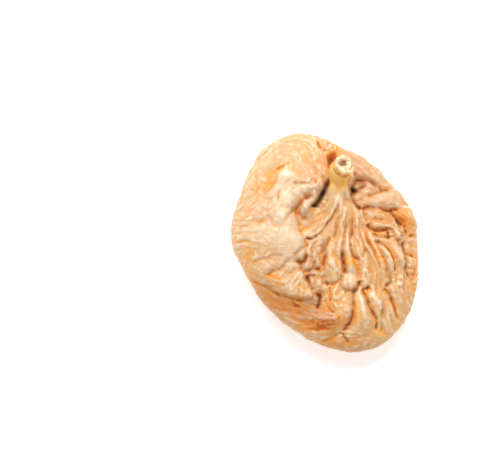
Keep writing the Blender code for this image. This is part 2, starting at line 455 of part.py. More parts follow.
    Crease(0.9, 0.9, 0, ((-5.0, -6.4), (-4.2, -6.6), (-3.2, -6.6), (-2.6, -6.0), (-2.3, -5.2),
                         (-2.5, -4.4)), 0.3, 0.4),
    Crease(0.9, 0.7, 0, ((-1.4, 0.0), (-1.9, -0.8), (-2.4, -1.6), (-2.6, -2.8), (-3.0, -4.0)), 0.4, 0.6),
    Crease(0.9, 0.7, 0, ((-4.0, 0.2), (-3.8, -0.8), (-3.7, -1.8)), 0.3, 0.5),
    Crease(0.8, 0.6, 0, ((-2.2, -3.2), (-1.4, -3.6), (-0.8, -4.4), (-1.0, -5.4)), 0.4, 0.5),
    Crease(0.8, 0.5, 0, ((-1.0, -1.6), (-1.4, -2.6), (-1.1, -3.4)), 0.4, 0.4),
    Crease(0.8, 0.5, 0, ((2.2, -6.8), (2.6, -7.6), (2.5, -8.6)), 0.4, 0.4),
    Crease(0.8, 0.45, 0, ((0.6, -5.2), (1.2, -6.4), (0.9, -7.6)), 0.6, 0.6),
    # short wrinkles at the lobe's lower end
    Crease(0.8, 0.5, 0, ((-9.6, -9.4), (-8.8, -10.4), (-8.6, -11.4)), 0.8, 0.3),
    Crease(0.8, 0.6, 0, ((-7.2, -8.8), (-7.9, -10.0), (-8.0, -11.4)), 0.8, 0.3),
    Crease(0.8, 0.6, 0, ((-5.8, -8.4), (-6.6, -9.8), (-6.9, -11.6)), 0.8, 0.3),
    Crease(0.8, 0.6, 0, ((-4.9, -9.0), (-5.6, -10.4), (-5.7, -11.8)), 0.8, 0.3),
    Crease(0.8, 0.5, 0, ((-4.0, -10.0), (-4.5, -11.0), (-4.6, -12.0)), 0.6, 0.3),
    Crease(0.8, 0.4, 0, ((-8.2, -7.6), (-7.0, -6.8), (-6.2, -5.6)), 0.8, 0.6),
    Crease(0.8, 0.4, 0, ((-9.4, -8.0), (-8.2, -7.0), (-7.4, -5.6)), 0.8, 0.8),
    # under layer
    Crease(1.2, 0.6, 0, ((-13.4, -11.4), (-11.4, -12.6), (-9.2, -13.6), (-7.4, -14.2)), 1.2, 1.2),
    Crease(1.1, 0.6, 0, ((-11.6, -13.8), (-9.4, -15.0), (-7.0, -15.6), (-4.6, -16.0)), 1.2, 1.2),
    Crease(1.1, 0.7, 0, ((-8.0, -16.6), (-5.4, -17.4), (-2.8, -17.6), (-0.4, -17.2)), 1.2, 1.2),
    Crease(1.1, 0.6, 0, ((-6.6, -18.8), (-4.2, -19.4), (-1.6, -19.2), (0.8, -18.8)), 1.2, 1.2),
    Crease(0.9, 0.5, 0, ((-7.2, -13.2), (-6.6, -14.2), (-5.2, -14.4)), 0.5, 0.6),
    Crease(0.9, 0.5, 0, ((-2.8, -15.8), (-1.2, -15.6), (0.2, -15.8), (1.4, -16.4)), 0.8, 0.8),
    Crease(0.9, 0.5, 0, ((4.9, -15.2), (4.5, -16.6), (4.0, -18.2)), 0.8, 0.8),
    # pit beside the neck and the folds that leave it
    Crease(1.1, 1.3, 0, ((6.5, 15.2), (6.9, 14.4), (7.2, 13.7), (6.8, 12.9), (6.4, 12.0),
                         (5.8, 11.2)), 0.4, 0.3),
    Crease(1.3, 1.4, 0.2, ((7.1, 13.6), (8.2, 13.5), (9.6, 13.2), (10.8, 12.8), (11.8, 12.2), (12.6, 11.5),
                           (13.4, 11.4), (14.8, 11.5)), 0.2, 1.2),
    Crease(1.1, 1.3, 0, ((5.8, 11.1), (7.0, 11.2), (8.0, 11.6), (9.3, 12.0)), 0.2, 1.2),
    Crease(1.3, 1.1, 0, ((9.0, 9.9), (10.2, 10.0), (11.0, 10.6), (12.0, 11.0), (12.9, 11.3),
                         (14.0, 11.2)), 0.8, 1.0),
    Crease(0.9, 0.8, 0, ((7.0, 8.7), (7.6, 9.0), (8.6, 9.1)), 0.2, 0.8),
    Crease(1.6, 1.5, 0.3, ((8.0, 6.9), (8.8, 7.3), (9.8, 7.4), (11.2, 7.4), (12.3, 7.4), (12.9, 7.0),
                           (13.6, 6.9),
                           (14.6, 7.0), (15.8, 7.1), (17.4, 7.2)), 0.2, 2.0),
    Crease(1.0, 1.0, 0, ((12.7, 6.5), (13.4, 6.6), (14.2, 6.9)), 0.3, 0.3),
    Crease(0.8, 0.8, 0, ((12.3, 7.5), (12.4, 8.0), (12.9, 8.3)), 0.2, 0.4),
    Crease(1.5, 1.9, 0, ((14.7, 7.1), (15.1, 6.3), (15.6, 5.4), (16.1, 4.6), (16.9, 3.9),
                         (17.6, 3.4)), 0.3, 0.5),
    Crease(1.2, 1.3, 0, ((17.4, 3.6), (17.9, 3.0), (18.1, 2.2), (18.6, 1.3)), 0.3, 0.6),
    Crease(0.9, 0.9, 0, ((16.5, 1.9), (17.0, 1.4), (17.5, 0.8)), 0.3, 0.5),
    Crease(0.9, 0.9, 0, ((18.4, 1.3), (19.2, 1.3), (20.2, 1.6)), 0.3, 0.8),
    Crease(0.8, 0.7, 0, ((16.1, 4.4), (16.2, 3.2), (16.5, 2.0)), 0.4, 0.4),
    Crease(0.9, 0.6, 0, ((10.8, 5.5), (11.4, 4.8), (12.2, 4.6), (13.0, 4.8)), 0.6, 0.6),
    Crease(0.9, 0.5, 0, ((13.2, 4.4), (14.0, 4.2), (15.0, 4.4)), 0.5, 0.5),
    Crease(0.8, 0.5, 0, ((12.4, 3.3), (13.0, 3.9), (14.2, 3.9), (15.0, 3.4), (15.5, 2.4)), 0.5, 0.8),
    Crease(1.3, 1.7, 0.15, ((9.3, 3.7), (10.0, 2.9), (11.0, 2.5), (12.2, 2.4), (13.2, 2.6),
                            (13.9, 2.8)), 0.3, 0.3),
    Crease(0.9, 0.9, 0, ((13.8, 2.8), (14.5, 2.3), (14.8, 1.6), (14.8, 0.7)), 0.2, 0.3),
    Crease(1.0, 1.4, 0, ((14.0, 2.2), (13.8, 1.4), (13.7, 0.9), (14.4, 0.7)), 0.2, 0.3),
    Crease(1.1, 1.2, -0.1, ((10.3, 1.7), (11.2, 1.4), (12.2, 1.0), (13.2, 0.8), (14.4, 0.6)), 0.5, 0.2),
    # the back rim
    Crease(1.2, 1.0, 0, ((-1.8, 22.4), (-1.1, 21.2), (-0.4, 20.3), (0.6, 19.8), (1.6, 19.6)), 0.8, 0.6),
    Crease(0.9, 0.6, 0, ((1.0, 22.8), (0.9, 21.4), (0.7, 20.0)), 1.0, 0.4),
    Crease(0.9, 0.4, 0, ((3.4, 21.6), (3.2, 20.4), (2.6, 19.6)), 1.0, 0.6),
)

# Narrow cords that stand on pleats
CORDS = (
    Roll(0.75, 0.40, ((2.8, 10.4), (2.7, 8.6), (2.2, 7.2), (1.4, 5.5), (0.6, 4.3), (-0.2, 3.2))),
    Roll(0.65, 0.45, ((4.4, 8.0), (4.3, 6.4), (4.1, 5.0), (3.7, 3.6), (3.8, 2.4), (3.6, 1.0),
                      (3.4, -0.4), (3.1, -1.8),
                      (3.0, -2.8), (3.3, -3.8), (3.5, -5.2), (3.6, -6.6))),
    Roll(0.55, 0.25, ((3.4, 2.2), (3.1, 0.8), (2.6, -0.6), (2.5, -2.0), (2.7, -3.4))),
    Roll(0.75, 0.40, ((4.6, 1.6), (4.8, 0.2), (4.7, -1.2), (5.0, -2.6), (5.3, -3.6))),
    Roll(0.60, 0.30, ((5.3, 8.6), (5.4, 6.6), (5.3, 4.8), (5.2, 3.6))),
    Roll(0.65, 0.35, ((6.2, 9.4), (6.6, 7.8), (6.9, 6.2), (6.9, 4.4), (7.0, 2.6))),
    Roll(0.60, 0.35, ((7.4, 7.0), (8.0, 5.6), (8.3, 4.2), (8.6, 3.0))),
    Roll(0.65, 0.40, ((8.1, 2.6), (8.4, 0.8), (8.8, -0.8), (9.4, -2.0), (10.0, -3.0), (10.7, -4.0),
                      (11.3, -5.0), (11.7, -6.2))),
    Roll(0.65, 0.35, ((11.6, -1.0), (12.6, -1.6), (13.4, -2.6), (14.0, -3.9), (14.5, -5.2))),
    Roll(0.60, 0.35, ((12.5, 3.1), (13.6, 3.3), (14.6, 3.0), (15.3, 2.4), (15.8, 1.4))),
    Roll(0.55, 0.40, ((15.1, 6.0), (15.5, 4.8), (15.8, 3.6), (16.0, 2.4), (16.4, 1.2), (16.8, 0.2),
                      (17.2, -0.9))),
    Roll(0.60, 0.30, ((14.9, -0.6), (15.8, -2.6), (16.6, -4.2), (17.3, -5.6), (17.5, -7.0))),
    Roll(0.70, 0.30, ((10.4, -10.4), (10.6, -11.8), (11.2, -13.0), (12.0, -14.4))),
    Roll(0.60, 0.25, ((7.9, -12.0), (8.2, -13.6), (8.4, -15.6), (8.8, -17.6))),
    Roll(0.60, 0.25, ((9.4, -11.4), (10.0, -13.4), (10.6, -15.2), (11.4, -16.8), (11.9, -18.6))),
    Roll(0.60, 0.30, ((-0.6, -15.0), (-0.5, -13.4), (-0.6, -12.0))),
    Roll(0.60, 0.30, ((1.9, -13.4), (1.9, -11.8), (2.0, -10.4))),
    Roll(0.60, 0.25, ((16.6, 7.6), (17.8, 7.6), (19.0, 7.7))),
    Roll(0.60, 0.30, ((1.3, 14.6), (1.5, 12.8), (1.4, 11.0), (0.8, 9.4), (-0.2, 8.2), (-1.6, 7.2))),
    Roll(0.60, 0.30, ((2.2, 14.2), (2.2, 12.2), (2.0, 10.4), (1.4, 8.6), (0.4, 7.2), (-0.8, 6.2))),
    Roll(0.60, 0.30, ((3.3, 13.8), (3.5, 11.8), (3.5, 9.8), (3.6, 7.8), (3.5, 6.0), (3.3, 4.6))),
    Roll(0.60, 0.30, ((4.4, 14.0), (4.5, 12.0), (4.6, 10.2), (5.2, 8.4))),
    Roll(0.55, 0.30, ((5.2, 13.4), (5.2, 11.8), (5.6, 10.4), (6.6, 8.6), (7.4, 7.2))),
)

# Rounded lumps: middle, half widths, turn and rise
BULBS = (
    Bulb(1.7, -6.4, 2.1, 2.9, 4, 0.9),
    Bulb(0.7, -5.0, 0.9, 1.6, 0, 0.4),
    Bulb(5.6, -8.4, 1.8, 2.5, 8, 0.8),
    Bulb(5.8, -5.6, 1.3, 1.9, 12, 0.6),
    Bulb(8.9, -8.2, 1.2, 2.2, 6, 0.6),
    Bulb(-1.9, -9.4, 1.4, 1.8, 0, 0.8),
    Bulb(-3.7, -5.4, 1.0, 1.0, 0, 0.6),
    Bulb(-1.6, -5.0, 0.9, 0.8, 30, 0.4),
    Bulb(-1.0, -7.4, 1.0, 0.9, 0, 0.4),
    Bulb(-3.2, -2.2, 0.7, 1.4, 0, 0.4),
    Bulb(14.5, 1.5, 0.5, 0.7, 20, 0.5),
    Bulb(15.8, 1.4, 0.8, 1.0, 20, 0.6),
    Bulb(18.8, -4.7, 1.0, 1.6, 0, 0.8),
    Bulb(18.8, 0.4, 0.8, 0.7, 0, 0.4),
    Bulb(-4.3, 7.1, 1.2, 2.1, -18, 1.7),
    Bulb(-3.6, 5.6, 0.9, 1.0, 30, 0.5),
    Bulb(6.0, 13.4, 0.9, 2.0, -12, 0.8),
    Bulb(16.4, -9.3, 0.8, 0.7, 0, 0.35),
    Bulb(16.4, -8.0, 0.7, 0.6, 0, 0.3),
    Bulb(0.0, -10.4, 0.6, 0.9, 0, 0.3),
)

# Limits on the lift of the banks, and how far from the lobe's edge its top still counts
BANK_LIMIT = 0.6
FAR = 30.0

# Unevenness that keeps folds from running perfectly smooth: shift and width of each layer of it
WARPS = ((0.28, 3.3, 1.5, 21.5), (0.08, 1.2, 7.5, 27.5))

# The underside: the eye, the puckers that run from it, and short folds
EYE = (-2.0, -11.0)
EYE_RADIUS = 1.6
EYE_DEPTH = 1.8
EYE_LIP = 0.6
PUCKERS = 19
SHORT_FOLDS = 46
SWAY = 1.1
WAVE = 0.7

# Folds that run down over the rim, and how folds pass from the top to the underside
RIM_FOLDS = 36
PAST_RIM = 0.9
TOP_FADE = 7.0
UNDER_START = -2.0
UNDER_FADE = 5.0

# The stem's centre line with its radius, and its end face as shares of that radius and heights
STEM = ((2.9, 14.0, 11.0, 1.7), (2.95, 14.6, 13.0, 2.15), (3.0, 14.9, 14.8, 2.25), (3.1, 15.2, 16.0, 2.25),
        (3.4, 15.5, 17.0, 2.1), (3.75, 15.8, 17.7, 1.85), (3.9, 16.0, 18.4, 1.95))
STEM_FACE = ((1.06, 0.12), (1.06, 0.42), (0.99, 0.66), (0.86, 0.72), (0.66, 0.62), (0.4, 0.3), (0.05, 0.1))
STEM_SIDES = 48
STEM_STEP = 0.25
STEM_FLAT = 0.1
STEM_LONG_WAY = math.radians(128.0)
STEM_RIBS = ((0.04, 3, 0.6), (0.03, 7, 0.0))

# The mesh: spacing of rows, points in a ring, voxels that make it one skin, faces kept, flat spot
ROW_STEP = 0.35
RING_POINTS = 400
VOXEL = 0.42
TRIANGLES = 11000
FLOOR_CUT = 0.2
FLOOR_SIDE = 80.0

SKIN_COLOUR = (0.78, 0.52, 0.27, 1.0)
SKIN_ROUGHNESS = 0.5


class Top:
    """The side seen from above: flesh, neck and big lobe, and the folds on them."""

    def __init__(self):
        """Prepare the noises and the long lines."""
        self.warp = Noise(3)
        self.wander = Noise(4)
        self.lobe_edge = Line(LOBE_EDGE)
        self.neck = Line(NECK)

    def warped(self, x, y):
        """Shift places a little, so that no fold runs perfectly smooth."""
        dx = sum(size * self.warp(x / width, y / width, slice_x) for size, width, slice_x, _ in WARPS)
        dy = sum(size * self.warp(x / width, y / width, slice_y) for size, width, _, slice_y in WARPS)
        return x + dx, y + dy

    def level(self, x, y):
        """Height of flesh, neck and lobe over the rim's plane."""
        z = np.full(x.shape, CROWN_Z - RIM_Z)
        for swell in SWELLS:
            z = z + swell.lift(x, y)
        pick, d, along, _ = self.neck.near(x, y, 9.0)
        half = self.neck.value(along, 2)
        back = self.neck.value(along, 3) - RIM_Z
        u = np.clip(d / half, 0, 1)
        sharp = np.clip((3.6 - half) / 1.2, 0, 1)
        share = sharp * np.sqrt(1 - u * u) + (1 - sharp) * smooth(1 - u)
        z[pick] = np.maximum(z[pick], z[pick] + (back - z[pick]) * share)
        top = np.full(x.shape, LOBE_Z - RIM_Z)
        for swell in LOBE_SWELLS:
            top = top + swell.lift(x, y)
        pick, d, _, _ = self.lobe_edge.near(x, y, FAR)
        far = np.full(x.shape, FAR)
        far[pick] = d
        within = inside(x, y, np.vstack([self.lobe_edge.rows, LOBE_BACK]))
        rise = np.clip(top - z, 0.0, None)
        return np.where(within, z + rise * rounded(far / LOBE_EDGE_ROLL), z)

    def relief(self, x, y):
        """Folds along the surface's normal: rolls, bulbs, cords and creases."""
        lifts = [item.lift(x, y) for item in ROLLS]
        roll = np.maximum.reduce(lifts).clip(0) + np.minimum.reduce(lifts).clip(None, 0)
        bulb = np.maximum.reduce([item.lift(x, y) for item in BULBS])
        cord = np.maximum.reduce([item.lift(x, y) for item in CORDS])
        deepest, total, banks = np.zeros((3, *x.shape))
        for item in CREASES:
            cut, lift = item.cut(x, y, self.wander)
            deepest = np.maximum(deepest, cut)
            total += cut
            banks += lift
        cut = 0.85 * deepest + 0.15 * np.minimum(total, 2 * deepest)
        return roll + bulb + cord + np.clip(banks, -BANK_LIMIT, BANK_LIMIT) - cut


class Under:
    """The side that lies down: the eye, the puckers that run from it, and short folds."""

    def __init__(self):
        """Lay out the folds."""
        rng = np.random.default_rng(11)
        self.wander = Noise(12)
        self.sway = Noise(13)
        self.creases = []
        for k in range(PUCKERS):
            turn = 2 * math.pi * (k + 0.6 * rng.random()) / PUCKERS
            share_out = 0.35 + 0.75 * rng.random() ** 0.7
            bend = 0.5 * (rng.random() - 0.5)
            points = self.ray(EYE, turn, 1.1, share_out * self.way_out(turn), bend)
            half = 1.3 + 1.2 * rng.random()
            self.creases.append(Crease(half, 0.6 + 0.7 * rng.random(), 0.0, points, 0.6, 5.0))
        for _ in range(SHORT_FOLDS):
            away = 5.0 + 16.0 * rng.random() ** 0.6
            turn = 2 * math.pi * rng.random()
            start = (away * math.cos(turn), away * math.sin(turn))
            heading = math.atan2(start[1] - EYE[1], start[0] - EYE[0]) + 1.3 * (rng.random() - 0.5)
            points = self.ray(start, heading, 0.0, 3.0 + 5.0 * rng.random(), 0.6 * (rng.random() - 0.5))
            half = 1.2 + 1.2 * rng.random()
            self.creases.append(Crease(half, 0.35 + 0.55 * rng.random(), 0.0, points, 2.0, 2.0))

    @staticmethod
    def ray(start, turn, first, last, bend):
        """Points along a bending line that leaves the start at the given turn."""
        points = []
        for share in np.linspace(0.0, 1.0, 6):
            reach = first + share * (last - first)
            a = turn + bend * share
            points.append((start[0] + reach * math.cos(a), start[1] + reach * math.sin(a)))
        return tuple(points)

    @staticmethod
    def way_out(turn):
        """Distance from the eye to a little past the rim."""
        reach = np.linspace(1.0, 45.0, 400)
        x = EYE[0] + reach * math.cos(turn)
        y = EYE[1] + reach * math.sin(turn)
        out = np.hypot(x, y) > outline_radius(np.arctan2(y, x)) + 1.5
        return float(reach[np.argmax(out)])

    def relief(self, x, y):
        """Folds along the surface's normal."""
        d = np.hypot(x - EYE[0], y - EYE[1])
        lip = EYE_LIP * np.exp(-((d - 2.3) / 0.9) ** 2)
        pit = EYE_DEPTH * smooth(1 - d / EYE_RADIUS)
        calm = SWAY * smooth(d / 6.0)
        sx = x + calm * self.sway(x / 6.0, y / 6.0, 2.5)
        sy = y + calm * self.sway(x / 6.0, y / 6.0, 9.5)
        cut = np.maximum.reduce([item.cut(sx, sy, self.wander)[0] for item in self.creases])
        wave = WAVE * self.sway(x / 8.0, y / 8.0, 15.5) * smooth((np.hypot(x, y) - 5.0) / 6.0)
        return lip + wave - pit - cut


def rim_folds():
    """Short folds that run down over the rim, in unrolled places, where the radius goes on past the rim."""
    rng = np.random.default_rng(21)
    folds = []
    for k in range(RIM_FOLDS):
        turn = 2 * math.pi * (k + 0.6 * rng.random()) / RIM_FOLDS
        rim = float(outline_radius(np.array(turn)))
        first = rim + 0.3 + 0.8 * rng.random()
        last = rim + 4.5 + 3.5 * rng.random()
        lean = 0.10 * (rng.random() - 0.5)
        points = []
        for share in (0.0, 0.35, 0.7, 1.0):
            reach = first + share * (last - first)
            a = turn + lean * share
            points.append((reach * math.cos(a), reach * math.sin(a)))
        half = 1.1 + 0.7 * rng.random()
        folds.append(Crease(half, 0.3 + 0.4 * rng.random(), 0.0, tuple(points), 2.2, 2.6))
    return folds


def section():
    """Rows from the top's middle to the underside's.

    Each row has its share of the radius, its share of the height, its arc from the rim, and how far the
    surface faces out and up there.
    """
    a = np.linspace(0, math.pi / 2, 600)
    top = np.stack([np.sin(a) ** (2 / TOP_POWER), np.cos(a)], axis=1)
    under = np.stack([np.sin(a) ** (2 / UNDER_POWER), -np.cos(a)], axis=1)[::-1]
    under[:, 1] = UNDER_SQUARE * under[:, 1] - (1 - UNDER_SQUARE) * (1 - under[:, 0] ** 2)
    rows = np.vstack([top, under[1:]])
    size = np.where(rows[:, 1] >= 0, CROWN_Z - RIM_Z, RIM_Z)
    r, z = rows[:, 0] * MEAN_RADIUS, rows[:, 1] * size
    arc = np.concatenate([[0.0], np.cumsum(np.hypot(np.diff(r), np.diff(z)))])
    even = np.linspace(0, arc[-1], int(arc[-1] / ROW_STEP) + 1)[1:-1]
    share, height, r, z = (np.interp(even, arc, v) for v in (rows[:, 0], rows[:, 1], r, z))
    slope_r, slope_z = np.gradient(r), np.gradient(z)
    length = np.hypot(slope_r, slope_z)
    return share, height, even - arc[len(top) - 1], -slope_z / length, slope_r / length


def body_points():
    """The body's points, one ring for each row of its section."""
    share, height, arc, faces_out, faces_up = (v[:, None] for v in section())
    turn = np.linspace(0, 2 * math.pi, RING_POINTS, endpoint=False)[None, :]
    radius = outline_radius(turn)
    slope = np.gradient(radius[0], turn[0])[None, :]
    out_x = radius * np.cos(turn) + slope * np.sin(turn)
    out_y = radius * np.sin(turn) - slope * np.cos(turn)
    out = np.hypot(out_x, out_y)
    x = share * radius * np.cos(turn)
    y = share * radius * np.sin(turn)

    top = Top()
    level = top.level(*top.warped(x.ravel(), y.ravel())).reshape(x.shape)
    z = RIM_Z + np.where(height >= 0, level * height, RIM_Z * height)

    past = np.where(arc > 0, radius + arc * PAST_RIM, share * radius)
    ux, uy = top.warped((past * np.cos(turn)).ravel(), (past * np.sin(turn)).ravel())
    rim_cut = np.maximum.reduce([item.cut(ux, uy, top.wander)[0] for item in rim_folds()])
    fold = (top.relief(ux, uy) - rim_cut).reshape(x.shape)

    before = np.where(arc < 0, radius - arc * PAST_RIM, share * radius)
    bx, by = top.warped((before * np.cos(turn)).ravel(), (before * np.sin(turn)).ravel())
    pucker = Under().relief(bx, by).reshape(x.shape)

    shift = fold * smooth(1 - np.clip(arc, 0, None) / TOP_FADE)
    shift = shift + pucker * smooth((arc - UNDER_START) / UNDER_FADE)
    x = x + shift * faces_out * out_x / out
    y = y + shift * faces_out * out_y / out
    z = z + shift * faces_up - FLOOR_CUT
    return np.stack([x, y, z], axis=2)


def stem_points():
    """Rings of the stem, from its root inside the neck to the pit in its cut face."""
    path = spline(STEM, STEM_STEP)
    centre, size = path[:, :3], path[:, 3]
    way = np.gradient(centre, axis=0)
    way = way / np.linalg.norm(way, axis=1, keepdims=True)
    right = np.array([1.0, 0.0, 0.0]) - way * way[:, :1]
    right = right / np.linalg.norm(right, axis=1, keepdims=True)
    back = np.cross(way, right)
    turn = np.linspace(0, 2 * math.pi, STEM_SIDES, endpoint=False)[:, None]
    ribs = 1 + STEM_FLAT * np.cos(2 * (turn - STEM_LONG_WAY))
    for rise, count, start in STEM_RIBS:
        ribs = ribs + rise * np.sin(count * turn + start)
    rings = []
    for middle, half, a, b in zip(centre, size, right, back):
        rings.append(middle + half * ribs * (np.cos(turn) * a + np.sin(turn) * b))
    for share, rise in STEM_FACE:
        disc = size[-1] * share * ribs * (np.cos(turn) * right[-1] + np.sin(turn) * back[-1])
        rings.append(centre[-1] + rise * way[-1] + disc)
    return np.array(rings)


def shell(rings):
    """Vertices and faces of rings that are joined row by row and closed at both ends."""
    rows, count = rings.shape[:2]
    points = np.vstack([rings.reshape(-1, 3), rings[0].mean(0), rings[-1].mean(0)])
    first, last = rows * count, rows * count + 1
    faces = []
    for row in range(rows - 1):
        for k in range(count):
            n = (k + 1) % count
            faces.append((row * count + k, row * count + n, (row + 1) * count + n, (row + 1) * count + k))
    for k in range(count):
        n = (k + 1) % count
        faces.append((first, n, k))
        faces.append((last, (rows - 1) * count + k, (rows - 1) * count + n))
    return points, faces


def skin_material():
    """Satin dried skin."""
    material = bpy.data.materials.new("dried_skin")
    material.use_nodes = True
    shader = material.node_tree.nodes["Principled BSDF"]
    shader.inputs["Base Color"].default_value = SKIN_COLOUR
    shader.inputs["Roughness"].default_value = SKIN_ROUGHNESS
    shader.inputs["Metallic"].default_value = 0.0
    return material


def triangle_count(item):
    """Number of triangles that an object has with its modifiers."""
    bpy.context.view_layer.update()
    evaluated = item.evaluated_get(bpy.context.evaluated_depsgraph_get())
    mesh = evaluated.to_mesh()
    mesh.calc_loop_triangles()
    count = len(mesh.loop_triangles)
    evaluated.to_mesh_clear()
    return count


def floor_cutter():
    """A block whose upper face is the floor; what the fig would sink into it becomes its flat spot."""
    side = FLOOR_SIDE * MM
    bpy.ops.mesh.primitive_cube_add(size=side, location=(0, 0, -side / 2))
    cutter = bpy.context.object
    cutter.name = "floor_cutter"
    cutter.hide_render = True
    cutter.display_type = "WIRE"
    return cutter


def dried_fig():
    """The whole fig as one solid."""
    body, body_faces = shell(body_points())
    stem, stem_faces = shell(stem_points())
    points = np.vstack([body, stem]) * MM
    faces = body_faces + [tuple(corner + len(body) for corner in face) for face in stem_faces]
    mesh = bpy.data.meshes.new("dried_fig")
    mesh.from_pydata(points.tolist(), [], faces)
    mesh.materials.append(skin_material())
    fig = bpy.data.objects.new("dried_fig", mesh)
    bpy.context.collection.objects.link(fig)

    merge = fig.modifiers.new("one_skin", "REMESH")
    merge.mode = "VOXEL"
    merge.voxel_size = VOXEL * MM
    merge.use_smooth_shade = True
    whole = triangle_count(fig)
    thin = fig.modifiers.new("fewer_faces", "DECIMATE")
    thin.ratio = TRIANGLES / whole
    flat = fig.modifiers.new("flat_spot", "BOOLEAN")
    flat.operation = "DIFFERENCE"
    flat.solver = "EXACT"
    flat.object = floor_cutter()
    return fig


def build():
    """Clear the scene and build the fig in it."""
    for item in list(bpy.data.objects):
        bpy.data.objects.remove(item)
    dried_fig()


build()
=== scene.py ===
"""Finished look of a dried fig that lies flat on a pale floor and is seen from above.

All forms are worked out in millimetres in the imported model's own frame, with +X right and +Y up as seen
from above and +Z up, and are scaled to metres when a mesh is made. The fig is one skin: a flattened body
with a big folded lobe, pleats that fan out from its neck, and a short cut stem.
"""

import logging
import math
from dataclasses import dataclass, field
from enum import Enum

import bpy
import numpy as np
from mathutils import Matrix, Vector
from mathutils.kdtree import KDTree


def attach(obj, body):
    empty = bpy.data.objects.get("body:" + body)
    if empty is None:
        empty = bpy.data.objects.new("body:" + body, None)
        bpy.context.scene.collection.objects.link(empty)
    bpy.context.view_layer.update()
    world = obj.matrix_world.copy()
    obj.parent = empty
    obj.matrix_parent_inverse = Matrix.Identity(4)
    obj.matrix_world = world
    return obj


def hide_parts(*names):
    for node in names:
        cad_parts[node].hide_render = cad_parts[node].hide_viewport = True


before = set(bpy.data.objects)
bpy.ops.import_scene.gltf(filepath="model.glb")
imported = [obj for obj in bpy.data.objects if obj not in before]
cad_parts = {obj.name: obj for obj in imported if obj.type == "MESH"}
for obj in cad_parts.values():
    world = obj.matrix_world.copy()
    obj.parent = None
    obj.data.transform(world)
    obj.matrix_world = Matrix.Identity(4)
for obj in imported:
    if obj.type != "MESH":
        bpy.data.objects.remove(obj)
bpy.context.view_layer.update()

MM = 0.001
RIM_Z = 7.0
CROWN_Z = 12.4
LOG = logging.getLogger("dried_fig")

Array = np.ndarray
Pair = tuple[np.ndarray, np.ndarray]
Socket = bpy.types.NodeSocket


def smooth(t: Array) -> Array:
    """Ease from 0 to 1 with level ends."""
    t = np.clip(t, 0.0, 1.0)
    return t * t * (3 - 2 * t)


def above(value: Array, edge: float, width: float) -> Array:
    """Ease from 0 at an edge to 1 at a width above it."""
    return smooth((value - edge) / width)


def below(value: Array, edge: float, width: float) -> Array:
    """Ease from 0 at an edge to 1 at a width below it."""
    return smooth((edge - value) / width)


def rounded(t: Array) -> Array:
    """Rise from 0 to 1 like a quarter circle."""
    t = np.clip(t, 0.0, 1.0)
    return np.sqrt(np.clip(t * (2 - t), 0.0, 1.0))


def cubic(a: Array, b: Array, c: Array, d: Array, t: Array) -> Array:
    """Catmull-Rom value between b and c at share t."""
    return b + 0.5 * t * (c - a + t * (2 * a - 5 * b + 4 * c - d + t * (3 * (b - c) + d - a)))


def turned(dx: Array, dy: Array, degrees: float) -> Pair:
    """Offsets as seen from axes that are turned counter-clockwise.

    Args:
        dx: Offsets along X.
        dy: Offsets along Y.
        degrees: Turn of the new axes.

    Returns:
        The offsets along the turned axes.
    """
    c, s = math.cos(math.radians(degrees)), math.sin(math.radians(degrees))
    return dx * c + dy * s, dy * c - dx * s


class Noise:
    """Smooth gradient noise on a hashed lattice, the same on every run."""

    cells = 512
    gain = 1.6

    def __init__(self, seed: int) -> None:
        """Draw the lattice's directions from the seed."""
        rng = np.random.default_rng(seed)
        self.order = rng.permutation(self.cells)
        steps = rng.normal(size=(self.cells, 3))
        self.steps = steps / np.linalg.norm(steps, axis=1, keepdims=True)

    def __call__(self, x: Array, y: Array, z: float = 0.0) -> Array:
        """Evaluate the noise.

        Args:
            x: First coordinate, in noise cells.
            y: Second coordinate.
            z: Third coordinate, or one slice.

        Returns:
            Values from about -1 to 1.
        """
        x, y, z = np.broadcast_arrays(x, y, z)
        cell = [np.floor(v).astype(int) for v in (x, y, z)]
        part = [v - c for v, c in zip((x, y, z), cell)]
        ease = [f * f * f * (f * (f * 6 - 15) + 10) for f in part]
        last = self.cells - 1
        total = 0.0
        for corner in range(8):
            ways = (corner & 1, corner >> 1 & 1, corner >> 2 & 1)
            key = self.order[(cell[0] + ways[0]) & last]
            key = self.order[(key + cell[1] + ways[1]) & last]
            step = self.steps[self.order[(key + cell[2] + ways[2]) & last]]
            dot = sum(step[..., k] * (part[k] - ways[k]) for k in range(3))
            share = 1.0
            for e, way in zip(ease, ways):
                share = share * (e if way else 1 - e)
            total = total + share * dot
        return total * self.gain


